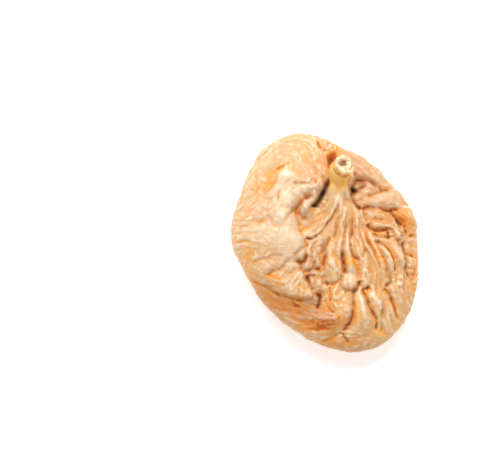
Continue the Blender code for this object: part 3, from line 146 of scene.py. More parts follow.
class Line:
    """A smooth line through points seen from above, with any further value that each point carries."""

    longest_end = 0.45
    tiny = 1e-9
    shortest_end = 1e-3

    def __init__(self, points: tuple, step: float = 0.4) -> None:
        """Resample the points as a smooth line.

        Args:
            points: Rows of x, y and further values.
            step: Distance between resampled points.
        """
        p = np.array(points, float)
        q = np.vstack([2 * p[0] - p[1], p, 2 * p[-1] - p[-2]])
        rows = []
        for a, b, c, d in zip(q, q[1:], q[2:], q[3:]):
            count = max(2, int(np.hypot(*(c - b)[:2]) / step))
            rows.append(cubic(a, b, c, d, np.linspace(0, 1, count, endpoint=False)[:, None]))
        self.rows = np.vstack(rows + [p[-1:]])
        self.runs = np.diff(self.rows[:, :2], axis=0)
        self.sizes = np.hypot(self.runs[:, 0], self.runs[:, 1])
        self.starts = np.concatenate([[0.0], np.cumsum(self.sizes)])

    @property
    def length(self) -> float:
        """Length of the line."""
        return float(self.starts[-1])

    def near(self, x: Array, y: Array, reach: float) -> tuple:
        """Find the points within reach of the line.

        Args:
            x: Places along X.
            y: Places along Y.
            reach: Largest distance that counts.

        Returns:
            Indices of the points, their distances, their places along the line, and +1 on its left or -1.
        """
        low = self.rows[:, :2].min(0) - reach
        high = self.rows[:, :2].max(0) + reach
        pick = np.flatnonzero((x > low[0]) & (x < high[0]) & (y > low[1]) & (y < high[1]))
        px, py = x[pick], y[pick]
        best = np.full(len(pick), np.inf)
        along = np.zeros(len(pick))
        side = np.ones(len(pick))
        for k, (sx, sy) in enumerate(self.runs):
            dx, dy = px - self.rows[k, 0], py - self.rows[k, 1]
            t = np.clip((dx * sx + dy * sy) / max(self.sizes[k] ** 2, self.tiny), 0, 1)
            d = np.hypot(dx - t * sx, dy - t * sy)
            win = d < best
            best = np.where(win, d, best)
            along = np.where(win, self.starts[k] + t * self.sizes[k], along)
            side = np.where(win, np.where(sx * dy - sy * dx > 0, 1.0, -1.0), side)
        keep = best < reach
        return pick[keep], best[keep], along[keep], side[keep]

    def value(self, along: Array, column: int) -> Array:
        """Value that the line carries in a column, at places along it."""
        return np.interp(along, self.starts, self.rows[:, column])

    def taper(self, along: Array, head: float, tail: float) -> Array:
        """Share that rises from 0 over the head and falls to 0 over the tail."""
        most = self.longest_end * self.length
        head, tail = (max(min(end, most), self.shortest_end) for end in (head, tail))
        return smooth(along / head) * smooth((self.length - along) / tail)


def inside(x: Array, y: Array, outline: Array) -> Array:
    """Tell which points lie inside a closed outline.

    Args:
        x: Places along X.
        y: Places along Y.
        outline: Corner points, one row each.

    Returns:
        True for each point inside.
    """
    hit = np.zeros(len(x), bool)
    for (x0, y0), (x1, y1) in zip(outline, np.roll(outline, -1, axis=0)):
        if y0 != y1:
            crosses = (y0 > y) != (y1 > y)
            hit ^= crosses & (x < (x1 - x0) * (y - y0) / (y1 - y0) + x0)
    return hit


@dataclass(frozen=True)
class Patch:
    """A soft oval patch: a rise of the flesh, a dip where strength is negative, or a spot of colour."""

    x: float
    y: float
    rx: float
    ry: float
    turn: float
    strength: float

    def reach(self, x: Array, y: Array) -> Array:
        """Squared distance from the middle, where the oval's edge is 1."""
        u, v = turned(x - self.x, y - self.y, self.turn)
        return (u / self.rx) ** 2 + (v / self.ry) ** 2

    def lift(self, x: Array, y: Array) -> Array:
        """Height or strength that the patch adds at each point."""
        return self.strength * np.exp(-self.reach(x, y))


@dataclass(frozen=True)
class Bulb(Patch):
    """A rounded swelling where a pleat ends."""

    fullness: float = 0.75

    def lift(self, x: Array, y: Array) -> Array:
        """Height that the bulb adds at each point."""
        return self.strength * np.clip(1 - self.reach(x, y), 0, 1) ** self.fullness


@dataclass(frozen=True)
class Roll:
    """A long rounded ridge, or a channel where rise is negative."""

    half: float
    rise: float
    points: tuple
    fullness: float = 1.3

    def lift(self, x: Array, y: Array) -> Array:
        """Height that the roll adds at each point."""
        line = Line(self.points)
        out = np.zeros(x.shape)
        pick, d, along, _ = line.near(x, y, self.half)
        ends = line.taper(along, 2.0 * self.half, 2.0 * self.half)
        out[pick] = self.rise * np.clip(1 - (d / self.half) ** 2, 0, 1) ** self.fullness * ends
        return out


@dataclass(frozen=True)
class Crease:
    """A sharp valley between two puffed shoulders; step lifts its left bank over its right one."""

    half: float
    depth: float
    step: float
    points: tuple
    head: float = 1.4
    tail: float = 1.4
    bank: float = 1.6
    uneven: float = 0.35
    ripple: float = 0.55

    def cut(self, x: Array, y: Array, wander: Noise) -> Pair:
        """Work out the crease.

        Args:
            x: Places along X.
            y: Places along Y.
            wander: Noise that makes the depth uneven along the crease.

        Returns:
            The depth cut at each point, and the lift of its banks.
        """
        line = Line(self.points)
        cut = np.zeros(x.shape)
        lift = np.zeros(x.shape)
        pick, d, along, side = line.near(x, y, self.half * self.bank)
        ends = line.taper(along, self.head, self.tail)
        uneven = 1 + self.uneven * wander(along * self.ripple, self.points[0][0], self.points[0][1])
        cut[pick] = self.depth * (1 - rounded(d / self.half)) * ends * uneven
        lift[pick] = self.step * side * smooth(1 - d / (self.half * self.bank)) * ends
        return cut, lift


def made(kind: type, *rows: tuple) -> tuple:
    """Make one thing of a kind from each row of its values."""
    return tuple(kind(*row) for row in rows)


# Soft rises and dips of the flesh: middle, half widths, turn and rise
SWELLS = made(
    Patch,
    (2.2, 18.9, 1.6, 1.2, 30, -2.4), (6.1, 11.1, 0.9, 0.7, 0, -2), (7.6, 12.8, 1.7, 1.2, -10, -1.6),
    (17, 4.4, 1.3, 2.6, 36, -0.8), (6, -2.5, 7.5, 6.5, 0, 0.9), (-0.2, -2, 0.9, 2.6, 0, -0.9),
    (14, -5, 3.5, 6, 20, 0.9), (-2.4, -8, 2.6, 4, 0, -0.8), (-9, -14.5, 8, 2.8, -28, -1.7),
    (-2, -14, 3, 2, 0, -1.2), (2.5, -17, 4.5, 3.5, 0, 0.6), (9.5, -15, 4, 5, 0, 0.6),
    (-3.8, -8.3, 0.5, 0.8, 10, -1.6), (-4.2, 6.9, 1.7, 2.4, -15, 1.5),
)

# The neck: x, y, half width and level of its back
NECK = ((3.1, 14.7, 2.15, 17.8), (2.95, 13.6, 2.15, 17.3), (2.8, 12.5, 2.15, 16.6), (2.65, 11.2, 2.45, 15.8),
        (2.6, 9.8, 2.95, 15.0), (2.7, 8.0, 4.1, 14.5), (2.9, 5.8, 5.6, 13.9), (3.4, 3.0, 7.0, 13.4),
        (4.2, -1.0, 8.2, 12.8))

# The big lobe's inner edge, and points beyond the rim that close its outline
LOBE_EDGE = ((-2.0, 23.4), (-1.2, 21.6), (0.2, 20.0), (0.9, 18.4), (0.8, 16.2), (1.1, 14.2), (0.7, 12.3),
             (-0.3, 10.5), (-1.5, 8.8), (-3.0, 7.4), (-3.3, 8.4), (-3.9, 9.5), (-5.0, 8.9), (-6.0, 7.4),
             (-6.5, 6.1), (-5.8, 4.6), (-5.7, 2.6), (-4.7, 0.7), (-4.1, -1.0), (-4.0, -2.6), (-4.6, -3.9),
             (-5.9, -4.5), (-5.3, -5.3), (-4.9, -6.6), (-4.3, -7.6), (-3.7, -9.2), (-3.0, -10.6),
             (-2.4, -11.8), (-3.6, -12.6), (-6.0, -12.4), (-8.0, -11.9), (-10.0, -11.1), (-12.0, -10.0),
             (-14.0, -8.9), (-15.6, -7.9), (-17.6, -6.6))
LOBE_BACK = ((-26.0, -8.0), (-30.0, 6.0), (-22.0, 26.0), (-8.0, 32.0), (-1.0, 27.0))

# Soft rises and dips of the lobe's top, with the same values
LOBE_SWELLS = made(
    Patch,
    (-9, -8.5, 9, 4.5, -25, -1.6), (-4, -7, 2.5, 6, 0, -1), (-12, 20, 10, 4, 25, -0.6),
    (-12.8, 13.6, 2.6, 4.4, -38, -0.9), (-9.2, 9, 2.6, 5.2, -8, 0.9), (-7.8, 13.9, 1.8, 1.4, 10, 0.7),
    (-3.6, 11.2, 2.6, 1.7, 20, 0.8), (-9.4, 5.6, 2, 1.3, 5, 0.5), (-8.5, 0.4, 4.2, 3.2, 0, 0.7),
    (-13.8, 4.2, 2.6, 0.9, 15, -0.5), (-11.2, 3.4, 1.6, 0.8, 0, -0.4), (-16, -2.4, 3.5, 1, 0, -0.3),
    (-13.6, -6, 3, 1, 12, 0.35),
)

# Rounded ridges: half width, rise and the line that they follow
ROLLS = made(
    Roll,
    # rows between the neck and the rim
    (2.6, 0.8, ((8, 8.8), (10.4, 9), (12.4, 9.4), (14.4, 9.4), (16.6, 9), (18.8, 8.4))),
    (1.5, 0.7, ((7.4, 12.2), (8.8, 12.7), (10.4, 12.2), (11.6, 11.6))),
    (1.4, 0.5, ((7.4, 10.6), (9, 10.9), (10.6, 11.1))),
    (2, 0.8, ((9.2, 5.9), (11.2, 6.1), (13, 5.7), (14.6, 5.4))),
    (1.4, 0.7, ((10.2, 4), (12, 3.7), (13.8, 3.4), (15.2, 2.6), (15.8, 1.4), (16.4, 0), (17, -1.4))),
    (1.7, 1, ((16, 7.4), (17.4, 5.9), (18.6, 4.2), (19.3, 2.2))),
    (2.6, 0.9, ((3.6, 20.8), (7, 18.4), (10.4, 15.4), (13.4, 12.6), (15.2, 10.6))),
    (1, 0.8, ((0.9, 21.8), (1, 20.4), (1.2, 19.1), (0.9, 17.9))),
    (1.6, 0.55, ((-11.4, 8.8), (-10.6, 11), (-9.8, 12.8), (-8.7, 14), (-7.4, 14.3), (-6.2, 13.5))),
    # pleats of the fan
    (1.6, 0.8, ((1.2, 0.2), (1, -2.4), (1.2, -4.6), (1.9, -7.4))),
    (1, 0.7, ((3.2, 1.4), (3, -0.6), (2.7, -2.6), (3.1, -5))),
    (1.4, 1, ((4.9, 1.6), (4.8, -0.6), (5, -2.8), (5.5, -5.4), (5.7, -8.2))),
    (1.2, 0.7, ((7.2, 1.6), (7.6, -0.6), (7.9, -2.6), (8.6, -5.2), (8.8, -8.4))),
    (1.2, 0.7, ((8.4, 2.4), (8.9, -0.4), (9.8, -2.6), (10.6, -4.6), (11, -7.4), (11.4, -10.4))),
    (1.4, 0.9, ((9.4, 2.8), (10.1, 0.8), (10.8, -1.4), (11.7, -3.4), (12.6, -5.4), (13, -8))),
    (1.4, 1, ((11.9, 0.2), (12.9, -1.9), (13.7, -3.8), (14.4, -5.6), (14.8, -7.6))),
    (1.8, 0.9, ((14.4, -0.4), (15.6, -2.4), (16.5, -4.4), (16.7, -6.4))),
    # lower pleats
    (2.4, 0.9, ((7.4, -11.4), (7.8, -13.4), (8.2, -16), (8.2, -19), (7.8, -21.6))),
    (1.3, 0.7, ((10.4, -10.4), (10.8, -12.4), (11.7, -14.6), (12, -17), (12.1, -19.4))),
    (1.9, 0.7, ((12.9, -12), (13.9, -15), (14.4, -18.6))),
    (2.6, 0.7, ((-2.4, -16.4), (0.6, -17.2), (3.4, -16.2), (4.8, -13.6), (4.8, -11.6))),
    (1.8, 0.3, ((-6, -20.6), (-2.6, -20), (0.6, -19.8), (2.8, -19))),
)

# Valleys: half width, depth, step of the banks, line, and how long the two ends taper
CREASES = made(
    Crease,
    # gap under the big lobe and along the neck
    (1.2, 3.4, 0, ((0.9, 13.6), (0.5, 11.9), (-0.4, 10.2), (-1.5, 8.6), (-3, 7.4)), 1.6, 0.5),
    (1.1, 2, 0, ((5.6, 10.8), (6, 9.7), (6.6, 8.6), (7.3, 7.6), (8, 6.8)), 0.4, 0.4),
    (1.1, 1, 0, ((8.3, 6.4), (8.8, 5.2), (9.3, 4)), 0.6, 0.6),
    (1, 1.3, 0, ((0.6, 16), (1, 17), (1.8, 17.9), (2.9, 18.4), (4, 18.6)), 0.4, 0.8),
    # edge of the big lobe's inner puff, and its foot
    (2.2, 0.5, -0.2, ((-13.8, 9.8), (-12.4, 10.6), (-11.5, 11.5), (-10.9, 12.6), (-10.4, 13.8),
     (-9.8, 14.8), (-9, 15.9), (-7.8, 16.7), (-6, 17)), 1.4, 2.4),
    (1.1, 0.4, 0, ((-11.4, 15.5), (-10.2, 15.7), (-9.2, 16.3), (-8.2, 16.9)), 1, 0.8),
    (1.4, 0.35, 0, ((-12.1, 9.9), (-12.5, 8.3), (-12.6, 6.6), (-12.9, 5.4)), 1, 0.8),
    (1.3, 0.35, 0, ((-12.7, 5.6), (-12, 4.6), (-11.8, 3.2)), 0.4, 1.2),
    (1.3, 0.35, 0, ((-9.9, 11.4), (-10, 10), (-10.3, 8.9), (-10.8, 7.9)), 1, 1),
    # folds on the puff
    (1.3, 0.9, 0.2, ((-7.2, 11.9), (-6.4, 12.1), (-5, 12.4), (-3.6, 12.5), (-2.6, 13)), 0.8, 0.4),
    (0.8, 0.5, 0, ((-2.9, 12.6), (-2.4, 13.1), (-2.1, 12.7), (-1.8, 12.1)), 0.4, 0.8),
    (0.9, 0.4, 0, ((-7.6, 11), (-6.8, 11.2), (-6.2, 11.7))),
    (1.4, 0.35, 0, ((-7, 11.4), (-6.8, 10), (-6.9, 8.6), (-7.6, 7.4))),
    (1.3, 0.3, 0, ((-10.2, 7.6), (-9, 7), (-7.6, 7))),
    (0.9, 0.6, 0, ((-0.8, 14.2), (-0.4, 13.2), (0, 12.2)), 0.6, 0.6),
    # edge of the lobe over the small fold at its foot
    (0.9, 1.1, 0, ((-4.9, 9.2), (-5.4, 8.5), (-5.9, 7.6), (-6.6, 6.7), (-7.6, 5.9)), 0.6, 0.4),
    (1.1, 0.7, 0, ((-6.9, 6.1), (-7.8, 5.6), (-8.4, 4.8), (-8.8, 3.8)), 0.2, 1.4),
    (0.9, 0.8, 0, ((-6.8, 6.2), (-5.8, 6), (-5.2, 5.5), (-4.6, 4.9), (-3.8, 4.3)), 0.3, 1),
    (0.9, 0.7, 0, ((-4.9, 9.1), (-4.2, 9.7), (-3.4, 9.8), (-2.8, 9.3), (-2.7, 8.6)), 0.4, 0.6),
    (0.8, 0.8, 0, ((-4.6, 7.3), (-4.4, 6.2), (-4.3, 5.2)), 0.8, 0.4),
    # long lines on the lobe
    (1, 0.5, 0.1, ((-16.4, -4.9), (-15.2, -4.4), (-14, -3.9), (-13.2, -4), (-12.4, -3.8), (-11.6, -3.3),
     (-10.2, -3.3), (-8.6, -3.4)), 1.4, 1.4),
    (1.6, 0.55, 0.2, ((-13.4, -7.8), (-12.4, -7.2), (-11.4, -6.5), (-10.4, -6.4), (-9.6, -5.9), (-8.8, -5),
     (-8.2, -4.2), (-7.2, -3.6)), 1.4, 1),
    (1, 0.6, 0.1, ((-7, -3.8), (-6.2, -2.8), (-5.2, -2), (-4.3, -1.4)), 0.8, 0.2),
    (1.1, 1.5, 0, ((-6.1, -4.2), (-5.3, -4.6), (-4.6, -4.3), (-4.1, -3.6), (-3.9, -2.8)), 0.4, 0.6),
    (1, 1.3, 0, ((-5.3, -4.7), (-5.1, -5.6), (-5.1, -6.7)), 0.2, 0.6),
    # streaks of the lobe's top and right side
    (1, 0.35, 0, ((-9, 22.9), (-7, 23.1), (-5, 22.9), (-3.4, 22.5)), 2, 1),
    (1, 0.45, 0, ((-8.6, 21.8), (-6.4, 21.8), (-4.6, 21.3), (-3.6, 20.1), (-3, 18.6), (-2.6, 17),
     (-2, 15.2), (-1.6, 13.9)), 2, 1.4),
    (0.9, 0.4, 0, ((-7.8, 20.3), (-6.2, 20.2), (-5.2, 19.5), (-4.4, 18.3), (-3.8, 17.2), (-3.2, 16)), 1.6,
     1.2),
    (0.9, 0.4, 0, ((-2.2, 21.4), (-1.5, 19.8), (-1, 18), (-0.7, 16), (-0.8, 14.4)), 1.2, 1.2),
    (0.8, 0.4, 0, ((-0.3, 19.4), (0.1, 17.6), (0, 15.8), (0.3, 14)), 1.2, 1),
    (1, 0.35, 0, ((-10.6, 18.5), (-8.6, 18.5), (-6.8, 18.2), (-5.4, 17.5)), 1.6, 1.2),
    (1.2, 0.35, 0, ((-15.6, 16.6), (-14.2, 18.4), (-12.4, 19.8), (-10.2, 20.8)), 1.8, 1.6),
    (1.1, 0.4, 0, ((-18.6, 8.4), (-16.8, 9.2), (-15.2, 10.6), (-14.2, 12.2)), 1.8, 1.4),
    (1.1, 0.35, 0, ((-19.4, 2.6), (-17.4, 3.2), (-15.8, 4.4), (-14.6, 5.6)), 1.8, 1.4),
    (1, 0.4, 0, ((-15.2, 3), (-14.2, 4), (-13.2, 4.8)), 0.8, 0.8),
    (1.1, 0.3, 0, ((-19.6, -0.6), (-17.6, -0.2), (-15.4, -0.4)), 1.6, 1.2),
    (1, 0.3, 0, ((-13.2, 1), (-12, 0.4), (-11.6, -0.8)), 0.8, 0.8),
    # the neck's left wing
    (1.4, 1.1, -0.25, ((2.8, 8.2), (2.4, 6.9), (1.8, 5.6), (1, 4.4), (0.3, 3.3), (-0.5, 2.2), (-1.4, 1.3)),
     2.4, 0.3),
    (1.1, 1.5, 0, ((-1.3, 1.4), (-1.9, 0.9), (-2.6, 0.4), (-3.5, 0.4), (-4.3, 0.7)), 0.3, 0.3),
    (0.8, 0.5, 0, ((0.7, 7.1), (0, 6.4), (-1, 5.7), (-2.2, 4.9)), 1.2, 1),
    (0.8, 0.45, 0, ((1.4, 6.8), (0.5, 5.8), (-0.6, 5), (-1.8, 4), (-3.2, 3.3)), 1.4, 1),
    (0.8, 0.45, 0, ((1.6, 5.6), (0.4, 4.2), (-1, 2.9), (-2.4, 2.2), (-4.2, 1.9)), 1.4, 0.8),
    (0.8, 0.4, 0, ((-0.2, 8), (-1.6, 6.8), (-3, 6.2)), 1.2, 0.8),
    (0.8, 0.4, 0, ((-1.6, 4), (-3, 2.9), (-5.2, 2.6)), 1, 0.6),
    # pleats of the fan
    (1.2, 1, 0.1, ((3.4, 6.2), (3.1, 4.8), (2.8, 3.6), (2.6, 2.4), (2.3, 1.2), (1.8, 0.2)), 2.4, 0.8),
    (1.1, 1, 0.1, ((1.6, 0.9), (0.9, 0), (0.5, -1), (0.1, -2.2), (0, -3.4), (-0.3, -4.6), (-0.5, -6.2)),
     0.8, 1),
    (0.9, 0.5, 0, ((1.2, -0.6), (1.4, -1.8), (1.8, -3), (2.2, -4.2)), 0.8, 0.8),
    (0.8, 0.6, 0, ((3.5, 2.6), (3.2, 1.6), (2.9, 0.4), (2.5, -0.8), (2.2, -2)), 0.8, 0.8),
    (1, 1, 0, ((4.9, 4.2), (4.8, 3), (4.6, 2), (4.3, 0.8), (4.1, -0.6), (3.8, -1.8)), 1.4, 0.8),
    (1, 1.8, 0, ((3.8, -1.8), (3.7, -2.8), (3.8, -3.8), (4.1, -4.8), (4.2, -6), (4.3, -7.4)), 1.6, 0.4),
    (1.2, 1.5, 0.1, ((5.7, 6), (5.8, 4.4), (5.9, 2.8), (5.8, 1.2), (5.5, -0.2), (5.6, -1.4), (5.9, -2.5),
     (6.3, -3.4), (7, -4.1), (7.9, -4.4)), 2.4, 0.6),
    (0.9, 0.9, 0, ((6.3, 4), (6.4, 2.6), (6.4, 1.2), (6.6, 0.2), (7, -0.8), (7.3, -1.6)), 1.2, 0.8),
    (0.8, 0.5, 0, ((7, 5.6), (7.4, 3.6), (7.5, 1.8), (7.7, 0)), 1.4, 1),
    (0.9, 0.7, 0, ((7.6, 6.4), (8.1, 4.6), (8.3, 3), (8.4, 1.6)), 1.4, 0.8),
    (0.9, 0.8, 0, ((8.7, -1.6), (8.4, -2.8), (8.2, -3.9)), 0.8, 0.3),
    (0.8, 0.5, 0, ((5.3, 3.4), (5.2, 2), (5.1, 0.6), (4.9, -0.6)), 1, 0.8),
    (1, 0.9, -0.1, ((8.9, 3.4), (9.2, 1.4), (9.6, -0.4), (10.1, -2), (10.8, -3.5), (11.5, -4.9),
     (12.1, -6)), 1.6, 0.5),
    (1.1, 1.1, 0, ((10.9, 0.8), (11.4, -0.9), (11.9, -2.1), (12.4, -3.3), (12.9, -4.7), (13.4, -6),
     (13.6, -7)), 0.8, 0.4),
    (1.1, 0.8, 0, ((12.1, -5.8), (12.9, -6.1), (13.4, -6.8), (13.8, -7.6)), 0.4, 0.4),
    (0.9, 0.6, 0, ((9, -5.8), (9.3, -6.6), (9.8, -7.4)), 0.4, 0.6),
    (1, 0.7, 0, ((10.9, -4.8), (11, -6.2), (11.3, -7.6), (11.2, -9.2), (11.4, -10.8), (11.7, -12.2)), 1,
     0.8),
    (1, 0.45, 0, ((7.5, -5), (7.4, -6.6), (7.5, -8.4)), 0.8, 0.3),
    (0.8, 0.4, 0, ((9.6, -2.6), (10.2, -4.2), (10.6, -5.8)), 0.8, 0.8),
    # right of the fan
    (1.5, 1.6, -0.35, ((11.1, -0.2), (12, -0.6), (13, -1.2), (13.7, -2.1), (14.3, -3.2), (14.8, -4.5),
     (15.1, -5.8), (15.3, -7)), 0.5, 0.8),
    (1.2, 1.1, 0, ((15.3, 0.7), (16, 0), (16.4, -0.8), (16.8, -1.7)), 0.6, 0.6),
    (1.4, 1.5, 0.2, ((17.2, 0.4), (17.4, -1), (17.6, -2.4), (17.8, -3.8), (18.1, -5), (17.9, -6),
     (18.1, -7), (18.7, -8), (19.5, -8.9)), 0.8, 1.2),
    (1.1, 1.2, 0, ((17.5, -2.8), (18.2, -2.9), (19, -3.3), (20, -3.8)), 0.3, 1),
    (1, 0.9, 0, ((15.3, -6.8), (15.8, -6.8), (16.4, -6.7)), 0.3, 0.4),
    (1, 0.9, 0, ((15.4, -7), (15.9, -7.7), (15.8, -8.6), (15.3, -9.4)), 0.2, 0.6),
    (1, 0.8, 0, ((18, -7.4), (17.7, -8.8), (17.5, -10.2), (17.3, -11.8)), 0.6, 1),
    (1.2, 1.4, 0, ((13.6, -7.3), (14.2, -8.1), (14.4, -8.8), (13.8, -9.5), (13.2, -10.2)), 0.5, 0.3),
    (1.5, 1.4, 0.2, ((13.2, -10.2), (14, -11.2), (14.7, -12.4), (15.1, -13.8), (15.5, -15.3), (16, -16.6),
     (16.5, -18)), 0.3, 1.6),
    (0.9, 0.5, 0, ((12.4, -8.2), (12.2, -9.6), (12.6, -11)), 0.8, 0.8),
    # lower pleats
    (1.2, 1.9, 0, ((5.6, -11), (6.4, -10.9), (7.1, -10.2), (7.6, -9.2), (7.6, -8.6)), 0.3, 0.4),
    (1.5, 1.6, 0.2, ((6.2, -11), (6.3, -12.4), (6.4, -14), (6.4, -15.6), (6.2, -17.2), (5.7, -18.1),
     (4.9, -19.2), (4, -20.2)), 0.3, 0.4),
    (1.2, 1.1, 0, ((4, -20.2), (4.3, -21.1), (4.9, -22), (5.2, -22.9)), 0.3, 1.2),
    (1.2, 0.8, 0, ((4, -20.1), (2.6, -20.8), (1, -21.5), (-1.2, -21.8)), 0.3, 1.4),
    (0.8, 0.4, 0, ((4.4, -22.8), (5.6, -22.4), (6.6, -22.4)), 0.5, 0.6),
    (1.6, 1.6, -0.25, ((9.9, -9.9), (9.2, -10.3), (8.4, -10.9), (8.9, -11.9), (9.3, -13), (9.6, -14.2),
     (10.1, -15.2), (10.8, -16.2), (11.3, -17.3), (11.5, -18.6), (11.4, -20.4)), 0.3, 1.8),
    (0.9, 0.6, 0, ((10.4, -17.4), (10.5, -18.6), (10.4, -20)), 0.8, 0.8),
    (0.9, 0.5, 0, ((9.9, -19.6), (9.6, -20.6), (9.2, -21.4)), 0.6, 0.8),
    (1.2, 0.9, 0, ((12.2, -14.6), (12.4, -16.2), (12.5, -17.6), (12.7, -19), (12.6, -20.6)), 0.8, 1.2),
    (0.9, 0.5, 0, ((13.4, -13), (13.8, -14.8), (14.3, -16.8), (14.6, -18.8)), 1.2, 1.4),
    (0.9, 0.4, 0, ((7.5, -12.4), (7.6, -15), (7.9, -17.6)), 1.4, 1.6),
    (0.9, 0.4, 0, ((8.7, -12.6), (8.9, -14.8), (9.5, -17)), 1.4, 1.6),
    (0.9, 0.4, 0, ((6.6, -21.2), (8, -21), (9.4, -20.6)), 0.8, 0.8),
    # round the knobs
    (0.9, 1.4, 0, ((0, -8.8), (0.5, -9.2), (1.2, -9.7)), 0.3, 0.3),
    (1.1, 0.9, 0, ((1.2, -9.7), (1.9, -9.4), (2.7, -8.9), (3.3, -8.3), (3.6, -7.4)), 0.2, 0.4),
    (1.1, 0.8, 0, ((3.7, -7.6), (3.35, -8.7), (3.35, -9.9), (3.9, -10.6), (5, -11), (5.8, -11)), 0.4, 0.2),
    (0.9, 0.8, 0, ((2.6, -10.5), (3.2, -10.9), (3.9, -11.1)), 0.3, 0.4),
    (0.9, 0.9, 0, ((7.6, -9.2), (8, -10.2), (8.4, -10.9)), 0.3, 0.2),
    (1, 1, 0, ((1.4, -9.8), (1.1, -11), (1, -12.2), (1.1, -13.4)), 0.3, 0.6),
    (0.9, 0.6, 0, ((2.6, -10.6), (2.8, -11.8), (3.2, -13), (3, -14.4)), 0.4, 0.8),
    (0.8, 0.5, 0, ((-0.2, -9.8), (-0.1, -11), (0.1, -12.6), (0.4, -14)), 0.4, 0.8),
    (0.8, 0.6, 0, ((0.4, -14.2), (1.2, -15), (1.9, -15.6)), 0.6, 0.4),
    (1.1, 2, 0, ((-1.9, -11.8), (-1.2, -11.9), (-1, -12.8), (-1.3, -14), (-1.9, -15.1)), 0.3, 0.7),
    (0.9, 1.1, 0, ((-4.1, -7.5), (-3.7, -8.3), (-3.4, -9.3), (-2.9, -10.4), (-2, -11)), 0.3, 0.5),
    (0.9, 0.9, 0, ((-3.8, -7.5), (-2.8, -7.6), (-2, -7.6)), 0.2, 0.4),
    (0.9, 0.8, 0, ((-2.5, -11.4), (-1.4, -11.7), (-0.6, -11.5), (-0.2, -10.9)), 0.3, 0.4),
    (0.8, 0.5, 0, ((-2.4, -7.9), (-2.3, -9), (-2.5, -10)), 0.5, 0.5),
    (1, 1.2, 0, ((-2.4, -6), (-1.6, -6.1), (-0.9, -6.3)), 0.3, 0.4),
    (0.9, 0.9, 0, ((-5, -6.4), (-4.2, -6.6), (-3.2, -6.6), (-2.6, -6), (-2.3, -5.2), (-2.5, -4.4)), 0.3,
     0.4),
    (0.9, 0.7, 0, ((-1.4, 0), (-1.9, -0.8), (-2.4, -1.6), (-2.6, -2.8), (-3, -4)), 0.4, 0.6),
    (0.9, 0.7, 0, ((-4, 0.2), (-3.8, -0.8), (-3.7, -1.8)), 0.3, 0.5),
    (0.8, 0.6, 0, ((-2.2, -3.2), (-1.4, -3.6), (-0.8, -4.4), (-1, -5.4)), 0.4, 0.5),
    (0.8, 0.5, 0, ((-1, -1.6), (-1.4, -2.6), (-1.1, -3.4)), 0.4, 0.4),
    (0.8, 0.5, 0, ((2.2, -6.8), (2.6, -7.6), (2.5, -8.6)), 0.4, 0.4),
    (0.8, 0.45, 0, ((0.6, -5.2), (1.2, -6.4), (0.9, -7.6)), 0.6, 0.6),
    # short wrinkles at the lobe's lower end
    (0.8, 0.5, 0, ((-9.6, -9.4), (-8.8, -10.4), (-8.6, -11.4)), 0.8, 0.3),
    (0.8, 0.6, 0, ((-7.2, -8.8), (-7.9, -10), (-8, -11.4)), 0.8, 0.3),
    (0.8, 0.6, 0, ((-5.8, -8.4), (-6.6, -9.8), (-6.9, -11.6)), 0.8, 0.3),
    (0.8, 0.6, 0, ((-4.9, -9), (-5.6, -10.4), (-5.7, -11.8)), 0.8, 0.3),
    (0.8, 0.5, 0, ((-4, -10), (-4.5, -11), (-4.6, -12)), 0.6, 0.3),
    (0.8, 0.4, 0, ((-8.2, -7.6), (-7, -6.8), (-6.2, -5.6)), 0.8, 0.6),
    (0.8, 0.4, 0, ((-9.4, -8), (-8.2, -7), (-7.4, -5.6)), 0.8, 0.8),
    # under layer
    (0.8, 0.7, 0.15, ((-16.4, -8), (-14.6, -9.1), (-12.6, -10.3), (-10.4, -11.5), (-8, -12.4), (-6, -12.9),
     (-3.8, -13)), 1.6, 0.6),
    (1, 0.25, 0, ((-13.4, -11.4), (-11.4, -12.6), (-9.2, -13.6), (-7.4, -14.2)), 1.2, 1.2),
    (0.9, 0.3, 0, ((-11.6, -13.8), (-9.4, -15), (-7, -15.6), (-4.6, -16)), 1.2, 1.2),
    (0.9, 0.3, 0, ((-8, -16.6), (-5.4, -17.4), (-2.8, -17.6), (-0.4, -17.2)), 1.2, 1.2),
    (0.9, 0.3, 0, ((-6.6, -18.8), (-4.2, -19.4), (-1.6, -19.2), (0.8, -18.8)), 1.2, 1.2),
    (0.9, 0.5, 0, ((-7.2, -13.2), (-6.6, -14.2), (-5.2, -14.4)), 0.5, 0.6),
    (0.9, 0.5, 0, ((-2.8, -15.8), (-1.2, -15.6), (0.2, -15.8), (1.4, -16.4)), 0.8, 0.8),
    (0.9, 0.5, 0, ((4.9, -15.2), (4.5, -16.6), (4, -18.2)), 0.8, 0.8),
    # pit beside the neck and the folds that leave it
    (1.1, 1.3, 0, ((6.5, 15.2), (6.9, 14.4), (7.2, 13.7), (6.8, 12.9), (6.4, 12), (5.8, 11.2)), 0.4, 0.3),
    (1.3, 1.4, 0.2, ((7.1, 13.6), (8.2, 13.5), (9.6, 13.2), (10.8, 12.8), (11.8, 12.2), (12.6, 11.5),
     (13.4, 11.4), (14.8, 11.5)), 0.2, 1.2),
    (1.1, 1.3, 0, ((5.8, 11.1), (7, 11.2), (8, 11.6), (9.3, 12)), 0.2, 1.2),
    (1.3, 1.1, 0, ((9, 9.9), (10.2, 10), (11, 10.6), (12, 11), (12.9, 11.3), (14, 11.2)), 0.8, 1),
    (0.9, 0.8, 0, ((7, 8.7), (7.6, 9), (8.6, 9.1)), 0.2, 0.8),
    (1.6, 1.5, 0.3, ((8, 6.9), (8.8, 7.3), (9.8, 7.4), (11.2, 7.4), (12.3, 7.4), (12.9, 7), (13.6, 6.9),
     (14.6, 7), (15.8, 7.1), (17.4, 7.2)), 0.2, 2),
    (1, 1, 0, ((12.7, 6.5), (13.4, 6.6), (14.2, 6.9)), 0.3, 0.3),
